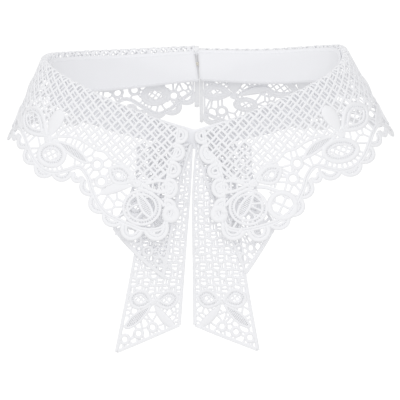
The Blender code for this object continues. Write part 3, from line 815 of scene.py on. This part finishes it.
# Each tail: its layer, how far its rings lean, its foot at the inner and outer edge, and its flat cut.
# The edges are rows of height, inner edge and outer edge.
tailForm = {
    "long_left": {
        "layer": 0, "slant": 0.15, "inner": -143.1, "outer": -158.8, "flat": (0.036, 0.118), "area": 0.0037,
        "edges": [(-43, -1.2, -24), (-61, -2.0, -26), (-104, -5.2, -32.9), (-160, -9.3, -43.9)],
    },
    "long_right": {
        "layer": 0, "slant": 0.08, "inner": -143.1, "outer": -157.7, "flat": (0.036, 0.118), "area": 0.0037,
        "edges": [(-43, 0.6, 20), (-61, -0.9, 21.5), (-114, -1.0, 27.5), (-160, -0.4, 35.5)],
    },
    "short_left": {
        "layer": 1, "slant": 0.25, "inner": -116.4, "outer": -88.8, "flat": (0.036, 0.076), "area": 0.0022,
        "edges": [(-43, -1.6, -31), (-61, -6.9, -32), (-88.8, -11.9, -44.1), (-118, -17, -58)],
    },
    "short_right": {
        "layer": 1, "slant": 0.3, "inner": -114.3, "outer": -88, "flat": (0.036, 0.074), "area": 0.0022,
        "edges": [(-43, 1.0, 30), (-61, 4.9, 31), (-88, 16.2, 43.3), (-116, 28.1, 58)],
    },
}
# What all four tails share: the net, the bow above the foot and the rings under it
tailShape = {
    "wall": 0.9,
    "layerStep": 1.65,
    "width": 34.4,
    "top": -43,
    "flatBelow": -95,
    "edgeInset": 0.6,
    "edgeCords": (-0.25, 0.45),
    "netPitch": 4.3,
    "netWave": 0.34,
    "netStray": 0.6,
    "netAboveKnot": 2.5,
    "knotAboveFoot": 20.7,
    "upperKnotRaise": 3.5,
    "knotRadius": 1.9,
    "loops": [(15.6, -3.4, 11.4), (-15.4, -3.0, 11.2)],
    "loopBand": 1.9,
    "loopMesh": 2.4,
    "podTip": (14.6, 14.4),
    "podWidth": 6.4,
    "leafTip": (-14.4, 14.0),
    "leafWidth": 5.0,
    "ringPlaces": (30.6, 23.4, 15.9),
    "ringSize": (3.3, 1.5),
    "ringAboveFoot": 6.4,
    "lift": 0.2,
}
# Height, half depth and width of the gathers
gathers = np.array([(-160, 0.1, 24), (-110, 0.2, 18), (-80, 0.4, 13), (-60, 0.45, 10), (-43, 0.3, 8)])


def bendTail(name, flat):
    form = tailForm[name]
    edges = np.array(sorted(form["edges"]), float)
    height = flat[:, 1]
    inner = smoothValue(height, edges[:, 0], edges[:, 1])
    outer = smoothValue(height, edges[:, 0], edges[:, 2])
    x = inner + (outer - inner) * flat[:, 0] / tailShape["width"]
    halfDepth = smoothValue(height, gathers[:, 0], gathers[:, 1])
    width = smoothValue(height, gathers[:, 0], gathers[:, 2])
    wave = halfDepth * (1 - np.cos(2 * np.pi * np.abs(x) / width))
    first = collarForm["neckHalfDepth"] + collarForm["seamGap"] + tailShape["wall"] / 2
    roundBack = collarForm["neckHalfDepth"] * (1 - np.sqrt(1 - (x / collarForm["neckHalfWidth"]) ** 2))
    share = np.clip((height - tailShape["flatBelow"]) / (tailShape["top"] - tailShape["flatBelow"]), 0, 1)
    wave = wave - roundBack * share * share * (3 - 2 * share)
    depth = first + tailShape["layerStep"] * form["layer"] + wave + flat[:, 2]
    return np.stack([x, -depth, height], -1) * toMetres


def drawTail(name):
    form, shape = tailForm[name], tailShape
    lace = newLace()
    width, top, lift, inset = shape["width"], shape["top"], shape["lift"], shape["edgeInset"]
    flipped = form["layer"] == 1
    sign = -1 if flipped else 1

    def footAt(across):
        return form["inner"] + (form["outer"] - form["inner"]) * across / width

    middle = width / 2
    raised = shape["upperKnotRaise"] if flipped else 0
    knot = np.array([middle, footAt(middle) + shape["knotAboveFoot"] + raised])

    def off(across, down):
        return knot + (across * sign, -down)

    addKnot(lace, knot, shape["knotRadius"], 0.45)
    for across, down, wide in shape["loops"]:
        petal = petalOutline(off(across * 0.02, 0), off(across, down), wide, 0.0, 1.2, 0.6)
        addLoop(lace, petal, shape["loopBand"], lift, shape["loopMesh"])
    addPod(lace, off(0.6, 1.0), off(*shape["podTip"]), shape["podWidth"], 0.0, lift)
    addLeaf(lace, off(-0.6, 1.0), off(*shape["leafTip"]), shape["leafWidth"], 0.8, lift, 1.3, 0.5)
    for across in shape["ringPlaces"]:
        across = width - across if flipped else across
        centre = (across, footAt(across) + shape["ringAboveFoot"])
        addRing(lace, centre, *shape["ringSize"], lift, form["slant"])
    near, far = ends = (inset, width - inset)
    loop = np.array([(near, form["inner"] + 0.7), (far, form["outer"] + 0.7), (far, top), (near, top)])
    level = knot[1] + shape["netAboveKnot"]

    def net(points):
        return isInside(points, loop) & (points[:, 1] > level) & ~isBlocked(lace, points)

    def free(points):
        return isInside(points, loop) & (points[:, 1] < level) & ~isBlocked(lace, points)

    box = (np.array([0, level - 2]), np.array([width, top]))
    addGround(lace, net, box, shape["netPitch"], 0.0, ("tailNet", "tailBar"), 0.08,
              shape["netWave"], shape["netStray"])
    across = np.linspace(*ends, 30)
    foot = np.stack([across, footAt(across) + 0.7], -1)
    sides = [np.array([(x, top), (x, footAt(x) + 0.6)]) for x in ends]
    seam = np.array([(x, level) for x in ends])
    addClipped(lace, "bride", [seam], lambda p: ~isBlocked(lace, p))
    edges = [foot, seam] + sides
    addShortBrides(lace, free, [spaced(edge, brideForm["shortStep"]) for edge in edges], 2.4)
    addBrides(lace, free, (loop.min(0), np.array([width, level])), edges, (), 1.0, 1.55)
    for line, inwards in zip(sides + [foot], (1, -1, 1)):
        for shift in shape["edgeCords"]:
            addStrand(lace, "cord", spaced(line + normalsOf(line) * shift * inwards, 2.0), 0.1)
    return lace


# Sets or links a node's sockets, by name or as i0, i1 by number
def setSockets(node, **values):
    for name, value in values.items():
        key = int(name[1:]) if name[0] == "i" and name[1:].isdigit() else name.replace("_", " ")
        if isinstance(value, Wire):
            node.id_data.links.new(value.socket, node.inputs[key])
        else:
            node.inputs[key].default_value = value


# Wraps a socket so that shader maths reads as expressions
class Wire:
    def __init__(self, tree, socket):
        self.tree, self.socket = tree, socket

    # Adds any node: its settings, the output to read, then the values or links of its sockets
    def node(self, kind, settings=None, output=0, **values):
        made = self.tree.nodes.new(kind)
        for name, value in (settings or {}).items():
            setattr(made, name, value)
        setSockets(made, **values)
        return Wire(self.tree, made.outputs[output])

    def maths(self, operation, a, b=0.0):
        return self.node("ShaderNodeMath", {"operation": operation}, i0=a, i1=b)

    def __add__(self, other):
        return self.maths("ADD", self, other)

    def __radd__(self, other):
        return self.maths("ADD", other, self)

    def __sub__(self, other):
        return self.maths("SUBTRACT", self, other)

    def __rsub__(self, other):
        return self.maths("SUBTRACT", other, self)

    def __mul__(self, other):
        return self.maths("MULTIPLY", self, other)

    def __rmul__(self, other):
        return self.maths("MULTIPLY", other, self)

    def __truediv__(self, other):
        return self.maths("DIVIDE", self, other)

    def __pow__(self, other):
        return self.maths("POWER", self, other)


# Starts a tree that works along curves, with named inputs for its sizes
def startTree(name, sizes):
    tree = bpy.data.node_groups.new(name, "GeometryNodeTree")
    inputs = {"Geometry": "Geometry", **sizes, "Material": "Material"}
    names = {}
    for title, kind in inputs.items():
        item = tree.interface.new_socket(title, in_out="INPUT", socket_type="NodeSocket" + kind)
        names[title] = item.identifier
    tree.interface.new_socket("Geometry", in_out="OUTPUT", socket_type="NodeSocketGeometry")
    given = tree.nodes.new("NodeGroupInput")
    return Wire(tree, None), names, {title: Wire(tree, given.outputs[title]) for title in inputs}


def endTree(start, made, given):
    realized = start.node("GeometryNodeRealizeInstances", Geometry=made)
    painted = start.node("GeometryNodeSetMaterial", Geometry=realized, Material=given["Material"])
    setSockets(start.tree.nodes.new("NodeGroupOutput"), Geometry=painted)


# Sweeps flat curves into threads, and keeps the length along each for its material
def makeSweepTree():
    sizes = {"Half Width": "Float", "Half Thickness": "Float", "Sides": "Int"}
    start, names, given = startTree("threadSweep", sizes)
    upright = start.node("GeometryNodeSetCurveNormal", {"mode": "Z_UP"}, Curve=given["Geometry"])
    marked = start.node("GeometryNodeStoreNamedAttribute", {"data_type": "FLOAT", "domain": "POINT"},
                        Geometry=upright, Name="along",
                        Value=start.node("GeometryNodeSplineParameter", output="Length"))
    circle = start.node("GeometryNodeCurvePrimitiveCircle", {"mode": "RADIUS"}, Radius=1.0,
                        Resolution=given["Sides"])
    size = start.node("ShaderNodeCombineXYZ", X=given["Half Width"], Y=given["Half Thickness"], Z=1.0)
    profile = start.node("GeometryNodeTransform", Geometry=circle, Scale=size)
    sweep = start.node("GeometryNodeCurveToMesh", Curve=marked, Profile_Curve=profile, Fill_Caps=True,
                       Scale=start.node("GeometryNodeInputRadius"))
    endTree(start, start.node("GeometryNodeSetShadeSmooth", Geometry=sweep), given)
    return start.tree, names


# Sets stitches along a curve
stitchForm = {"spacing": 2.4, "length": 1.7, "thickness": 0.5, "segments": 6, "rings": 5}


def makeStitchTree():
    sizes = {"Spacing": "Float", "Length": "Float", "Thickness": "Float"}
    start, names, given = startTree("stitchRow", sizes)
    places = start.tree.nodes.new("GeometryNodeCurveToPoints")
    places.mode = "LENGTH"
    setSockets(places, Curve=given["Geometry"], Length=given["Spacing"])
    bead = start.node("GeometryNodeMeshUVSphere", output="Mesh", Radius=0.5,
                      Segments=stitchForm["segments"], Rings=stitchForm["rings"])
    bead = start.node("GeometryNodeSetShadeSmooth", Geometry=bead)
    size = start.node("ShaderNodeCombineXYZ", X=given["Thickness"], Y=given["Thickness"], Z=given["Length"])
    points, turns = (Wire(start.tree, places.outputs[title]) for title in ("Points", "Rotation"))
    row = start.node("GeometryNodeInstanceOnPoints", Points=points, Rotation=turns,
                     Instance=bead, Scale=size)
    endTree(start, row, given)
    return start.tree, names


sweepTree, sweepNames = makeSweepTree()
stitchTree, stitchNames = makeStitchTree()


# Draws the lines as a curve, runs a tree along it and keeps the result as a plain mesh
def workAlong(name, lines, tree, names, **values):
    data = bpy.data.curves.new(name, "CURVE")
    data.dimensions = "3D"
    for line in lines:
        spline = data.splines.new("POLY")
        count = len(line["points"])
        spline.points.add(count - 1)
        spline.points.foreach_set("co", np.column_stack([line["points"], np.ones(count)]).ravel())
        spline.points.foreach_set("radius", line["radius"])
        spline.use_cyclic_u = line["closed"]
    holder = bpy.data.objects.new(name, data)
    bpy.context.scene.collection.objects.link(holder)
    work = holder.modifiers.new("Work", "NODES")
    work.node_group = tree
    for title, value in values.items():
        work[names[title.replace("_", " ")]] = value
    graph = bpy.context.evaluated_depsgraph_get()
    mesh = bpy.data.meshes.new_from_object(holder.evaluated_get(graph), depsgraph=graph)
    bpy.data.objects.remove(holder)
    bpy.data.curves.remove(data)
    return mesh


def sweepStrands(name, strands, kind):
    form = threadKinds[kind]
    return workAlong(name, strands, sweepTree, sweepNames, Half_Width=form["halfWidth"], Sides=form["sides"],
                     Half_Thickness=form["halfThickness"], Material=threadMaterials[kind])


def sewStitches(name, lines, material):
    rows = [{"points": line, "radius": np.ones(len(line)), "closed": False} for line in lines]
    sizes = {name.title(): stitchForm[name] * toMetres for name in ("spacing", "length", "thickness")}
    return workAlong(name, rows, stitchTree, stitchNames, Material=material, **sizes)


def joinMeshes(name, meshes):
    parts = []
    for mesh in meshes:
        part = bpy.data.objects.new(name, mesh)
        bpy.context.scene.collection.objects.link(part)
        parts.append(part)
    if len(parts) > 1:
        with bpy.context.temp_override(active_object=parts[0], selected_editable_objects=parts):
            bpy.ops.object.join()
    parts[0].name = name
    return parts[0]


def faceOutwards(piece):
    shell = bmesh.new()
    shell.from_mesh(piece.data)
    bmesh.ops.recalc_face_normals(shell, faces=shell.faces)
    shell.to_mesh(piece.data)
    shell.free()


# Sweeps and joins all the threads of a piece, then bends the flat chart to the piece's form
def buildLace(name, lace, bend, which):
    meshes = []
    for kind, strands in lace["strands"].items():
        if strands:
            meshes.append(sweepStrands(name + "_" + kind, strands, kind))
    piece = joinMeshes(name, meshes)
    flat = np.zeros(len(piece.data.vertices) * 3)
    piece.data.vertices.foreach_get("co", flat)
    piece.data.vertices.foreach_set("co", bend(which, flat.reshape(-1, 3)).ravel())
    piece.data.update()
    faceOutwards(piece)
    triangles = sum(len(p.vertices) - 2 for p in piece.data.polygons)
    print(name, "triangles", triangles)
    return piece


# Starts a material: itself, its shader, a wire to add nodes from, and the object's own places
def startMaterial(name):
    material = bpy.data.materials.new(name)
    material.use_nodes = True
    tree = material.node_tree
    start = Wire(tree, None)
    return material, tree.nodes["Principled BSDF"], start, start.node("ShaderNodeTexCoord", output="Object")


def noise(start, where, scale, detail):
    return start.node("ShaderNodeTexNoise", output="Fac", Vector=where, Scale=scale, Detail=detail)


def between(start, shade, colour, factor):
    return start.node("ShaderNodeMix", {"data_type": "RGBA"}, output=2, Factor=factor, i6=shade, i7=colour)


def bump(start, height, strength, depth):
    return start.node("ShaderNodeBump", Height=height, Strength=strength, Distance=depth)


# White cotton: twisted or laid threads show as fine ridges across the thread's own length, in the bump and as
# painted shade that darkens the grooves between them
cottonForm = {
    "colour": (0.945, 0.95, 0.985, 1),
    "shade": (0.905, 0.912, 0.95, 1),
    "roughness": 0.66,
    "sheen": 0.25,
    "fuzzScale": 2600.0,
    "cloudScale": 60.0,
    "bumpStrength": 0.55,
}


def makeThreadMaterial(name, ridge, depth, shine=0.0):
    form = cottonForm
    material, shader, start, where = startMaterial(name)
    along = start.node("ShaderNodeAttribute", {"attribute_name": "along"}, output="Fac")
    fuzz = noise(start, where, form["fuzzScale"], 2.0)
    cloud = noise(start, where, form["cloudScale"], 3.0)
    ridges = start.maths("SINE", along * (2 * math.pi / ridge) + fuzz * 2.0) * 0.5 + 0.5
    # Base colour: painted shade in the grooves between the ridges, plus a random cloud of tone
    setSockets(shader,
               Base_Color=between(start, form["shade"], form["colour"], ridges * 0.35 + cloud * 0.5),
               Normal=bump(start, ridges * 0.8 + fuzz * 0.4, form["bumpStrength"], depth),
               Roughness=fuzz * 0.12 + (form["roughness"] - shine),
               Sheen_Weight=form["sheen"], Sheen_Roughness=0.5)
    return material


# Plain woven cotton, on the strip's own along and down lengths; its colour is darker in the weave's dips, as
# painted shade, and varies at random with cloud and grain
clothForm = {
    "stand": {"colour": (0.94, 0.947, 0.99, 1), "shade": (0.90, 0.907, 0.95, 1),
              "thread": 0.5, "depth": 0.00005},
    "tape": {"colour": (0.94, 0.945, 0.965, 1), "shade": (0.88, 0.885, 0.91, 1),
             "thread": 0.6, "depth": 0.00008},
    "roughness": 0.75,
    "sheen": 0.2,
    "cloudScale": 38.0,
    "grainScale": 1500.0,
    "bumpStrength": 0.4,
}


def makeClothMaterial(name):
    form, own = clothForm, clothForm[name]
    material, shader, start, where = startMaterial(name + "Cloth")
    uv = start.node("ShaderNodeUVMap", {"uv_map": "cloth"})
    along, down = (start.node("ShaderNodeSeparateXYZ", output=axis, Vector=uv) for axis in ("X", "Y"))
    turns = 2 * math.pi / own["thread"]
    weave = start.maths("SINE", along * turns) * start.maths("SINE", down * turns) * 0.5 + 0.5
    cloud = noise(start, where, form["cloudScale"], 3.0)
    grain = noise(start, where, form["grainScale"], 2.0)
    # Painted shade in the weave's dips, mixed with random tone from cloud and grain
    toneAndWeaveShade = cloud * 0.55 + grain * 0.3 + weave * 0.15
    setSockets(shader,
               Base_Color=between(start, own["shade"], own["colour"], toneAndWeaveShade),
               Normal=bump(start, weave * 0.7 + grain * 0.5, form["bumpStrength"], own["depth"]),
               Roughness=grain * 0.15 + form["roughness"],
               Sheen_Weight=form["sheen"], Sheen_Roughness=0.5)
    return material


# Pale plated wire, a little worn
wireForm = {
    "colour": (0.88, 0.84, 0.74, 1),
    "shade": (0.62, 0.55, 0.40, 1),
    "roughness": 0.22,
    "wearScale": 900.0,
    "streakScale": 240.0,
    "bumpStrength": 0.25,
    "bumpDepth": 0.00004,
}


def makeWireMaterial():
    form = wireForm
    material, shader, start, where = startMaterial("closingMetal")
    worn = noise(start, where, form["wearScale"], 3.0)
    streak = noise(start, where, form["streakScale"], 1.0)
    setSockets(shader,
               Base_Color=between(start, form["shade"], form["colour"], worn * 0.6 + streak * 0.4),
               Normal=bump(start, worn, form["bumpStrength"], form["bumpDepth"]),
               Roughness=streak * 0.2 + form["roughness"],
               Metallic=1.0)
    return material


twisted = makeThreadMaterial("twistedThread", 0.9, 0.00008)
laid = makeThreadMaterial("satinStitch", 0.55, 0.00012, 0.1)
threadMaterials = {kind: laid if kind in ("satin", "leaf") else twisted for kind in threadKinds}
standCloth = makeClothMaterial("stand")
tapeCloth = makeClothMaterial("tape")
closingMetal = makeWireMaterial()
print("materials made")

for side in (left, right):
    name = sideNames[side]
    fall = buildLace("lace_fall_" + name, drawFall(side), bendFall, side)
    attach(fall, "root")
    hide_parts("fall_" + name)
    print("fall made", name)

for name in tailForm:
    tail = buildLace("lace_tail_" + name, drawTail(name), bendTail, name)
    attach(tail, "root")
    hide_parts("tail_" + name)
    print("tail made", name)


# A shell from rows of surface points and outward normals, with rounded long edges
def makeShell(name, middle, half, uv, material, stitches):
    normals = gridNormals(middle)
    rows, columns = middle.shape[:2]
    share = np.linspace(0, 1, rows)
    away = np.minimum(share, 1 - share) * (rows - 1)
    thick = half * np.where(away < 0.5, 0.45, np.where(away < 1.5, 0.85, 1.0))[:, None, None]
    front, backFace = middle + normals * thick, middle - normals * thick
    points = np.concatenate([front.reshape(-1, 3), backFace.reshape(-1, 3)])
    faces, count = [], rows * columns
    for r in range(rows - 1):
        for c in range(columns - 1):
            a = r * columns + c
            faces.append((a, a + 1, a + columns + 1, a + columns))
            faces.append((count + a, count + a + columns, count + a + columns + 1, count + a + 1))
    for c in range(columns - 1):
        for r in (0, rows - 1):
            a = r * columns + c
            faces.append((a, a + 1, count + a + 1, count + a))
    for r in range(rows - 1):
        for c in (0, columns - 1):
            a = r * columns + c
            faces.append((a, a + columns, count + a + columns, count + a))
    mesh = bpy.data.meshes.new(name)
    mesh.from_pydata((points * toMetres).tolist(), [], faces)
    layer = mesh.uv_layers.new(name="cloth")
    flat = np.concatenate([uv.reshape(-1, 2), uv.reshape(-1, 2)])
    loops = np.zeros(len(mesh.loops), int)
    mesh.loops.foreach_get("vertex_index", loops)
    layer.data.foreach_set("uv", flat[loops].ravel())
    mesh.materials.append(material)
    mesh.shade_smooth()
    piece = joinMeshes(name, [mesh, sewStitches(name + "_stitches", stitches, twisted)])
    faceOutwards(piece)
    return piece


def gridNormals(grid):
    across = np.gradient(grid, axis=1)
    down = np.gradient(grid, axis=0)
    normals = np.cross(across, down)
    return normals / np.maximum(np.linalg.norm(normals, axis=2, keepdims=True), 1e-9)


standForm = {
    "rows": 17,
    "columnsPerSide": 120,
    "ends": {left: (-0.6, 2.3), right: (1.7, 3.2)},
    "height": 22,
    "pucker": 0.12,
    "flat": (0.40, 0.024),
    "stitchRows": (0.09, 0.92),
}


def standRow(share, inwards):
    form = standForm
    row = []
    for side in (left, right):
        topEnd, footEnd = form["ends"][side]
        end = side * (topEnd + (footEnd - topEnd) * share)
        turns = np.linspace(math.asin(end / collarForm["neckHalfWidth"]), math.pi, form["columnsPerSide"])
        top = station(side, turns, "crest") - station(side, turns, "drop")
        height = top + (station(side, turns, "foot") - top) * share
        wave = form["pucker"] * np.sin(turns * 31 + share * 4) * math.sin(math.pi * share)
        half = neckPoint(side, turns, wave - inwards, height)
        row.append(half if side == left else half[::-1][1:])
    return np.vstack(row)


shares = np.linspace(0, 1, standForm["rows"])
standPoints = np.array([standRow(share, collarForm["standWall"] / 2) for share in shares])
stitchDepth = collarForm["standWall"] + 0.1
standStitches = [standRow(share, stitchDepth) * toMetres for share in standForm["stitchRows"]]
standAlong = np.array([lengthsAlong(row) for row in standPoints])
standDown = np.repeat(np.linspace(0, standForm["height"], len(shares))[:, None], standPoints.shape[1], 1)
stand = makeShell("stand_band", standPoints, collarForm["standWall"] / 2,
                  np.stack([standAlong, standDown], -1), standCloth, standStitches)
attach(stand, "root")
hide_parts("stand")
print("stand made")

tapeForm = {
    left: {"width": 2.75, "below": 38.6},
    right: {"width": 2.1, "below": 48.5},
    "half": 0.45,
    "levels": 26,
    "stitchLifts": (-0.5, 0.5),
}
for side in (left, right):
    width, count = tapeForm[side]["width"], tapeForm["levels"]
    near = halfRound - fallForm[side]["backEnd"] + collarForm["seamGap"]
    places = near + np.linspace(0, width, 5)
    levels = np.linspace(seamEdge - float(crestAt(side, near)), tapeForm[side]["below"], count)
    flat = np.array([(place, level, 0.0) for place in places for level in levels])
    grid = (bendFall(side, flat) / toMetres).reshape(len(places), count, 3)
    uv = flat[:, 1::-1].reshape(len(places), count, 2)
    rows = [bendFall(side, np.array([(near + width / 2, level, lift) for level in levels]))
            for lift in tapeForm["stitchLifts"]]
    tape = makeShell("tape_" + sideNames[side], grid, tapeForm["half"], uv, tapeCloth, rows)
    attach(tape, "root")
    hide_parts("back_tape_" + sideNames[side])
print("tapes made")

for name in ("hook", "eye"):
    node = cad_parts[name]
    node.data.materials.clear()
    node.data.materials.append(closingMetal)

# Floor, light and camera
stageForm = {
    "floorHeight": -0.6,
    "floorHalf": 30,
    "floorShade": (0.97, 0.97, 0.97, 1),
    "floorColour": (0.99, 0.99, 0.99, 1),
    "worldStrength": 0.56,
    "lamps": {
        "keyLamp": {"place": (-0.9, -0.7, 1.4), "size": 0.8, "power": 4.9},
        "frontLamp": {"place": (0.15, -1.5, 0.45), "size": 0.7, "power": 5.8},
        "lowLamp": {"place": (0.0, -1.15, -0.27), "size": 0.12, "power": 0.8},
    },
    "lampAim": (0, 0, -0.06),
    "floorGlow": 0.6,
    "gamma": 1.75,
    "cameraPlace": (0.0, -0.9945, 0.1045),
    "cameraAim": (0.0028, -0.0084, -0.0802),
    "lens": 162,
}
floorMaterial, shader, start, where = startMaterial("paleFloor")
mottle = noise(start, where, 3.0, 2.0)
setSockets(shader, Base_Color=between(start, stageForm["floorShade"], stageForm["floorColour"], mottle),
           Roughness=0.9, Specular_IOR_Level=0.1, Emission_Color=(1, 1, 1, 1),
           Emission_Strength=stageForm["floorGlow"])
half, level = stageForm["floorHalf"], stageForm["floorHeight"]
floorMesh = bpy.data.meshes.new("floor")
corners = [(x * half, y * half, level) for x, y in ((-1, -1), (1, -1), (1, 1), (-1, 1))]
floorMesh.from_pydata(corners, [], [(0, 1, 2, 3)])
floorMesh.materials.append(floorMaterial)
floor = bpy.data.objects.new("floor", floorMesh)
bpy.context.scene.collection.objects.link(floor)
# The floor stays white in the view without lighting the threads from behind
floor.visible_diffuse = False
floor.visible_glossy = False

world = bpy.data.worlds.new("studio")
world.use_nodes = True
setSockets(world.node_tree.nodes["Background"], Color=(1, 1, 1, 1), Strength=stageForm["worldStrength"])
bpy.context.scene.world = world


def addLamp(name, place, aim, size, power):
    data = bpy.data.lights.new(name, "AREA")
    data.shape, data.size, data.energy = "DISK", size, power
    lamp = bpy.data.objects.new(name, data)
    lamp.location = place
    lamp.rotation_euler = (Vector(aim) - Vector(place)).to_track_quat("-Z", "Y").to_euler()
    bpy.context.scene.collection.objects.link(lamp)


for name, lamp in stageForm["lamps"].items():
    addLamp(name, lamp["place"], stageForm["lampAim"], lamp["size"], lamp["power"])

cameraData = bpy.data.cameras.new("camera")
cameraData.lens, cameraData.sensor_width = stageForm["lens"], 36
cameraData.clip_start, cameraData.clip_end = 0.01, 100
camera = bpy.data.objects.new("camera", cameraData)
camera.location = stageForm["cameraPlace"]
aim = Vector(stageForm["cameraAim"]) - Vector(stageForm["cameraPlace"])
camera.rotation_euler = aim.to_track_quat("-Z", "Y").to_euler()
bpy.context.scene.collection.objects.link(camera)
bpy.context.scene.camera = camera
bpy.context.scene.view_settings.view_transform = "Standard"
bpy.context.scene.view_settings.gamma = stageForm["gamma"]
print("stage made")
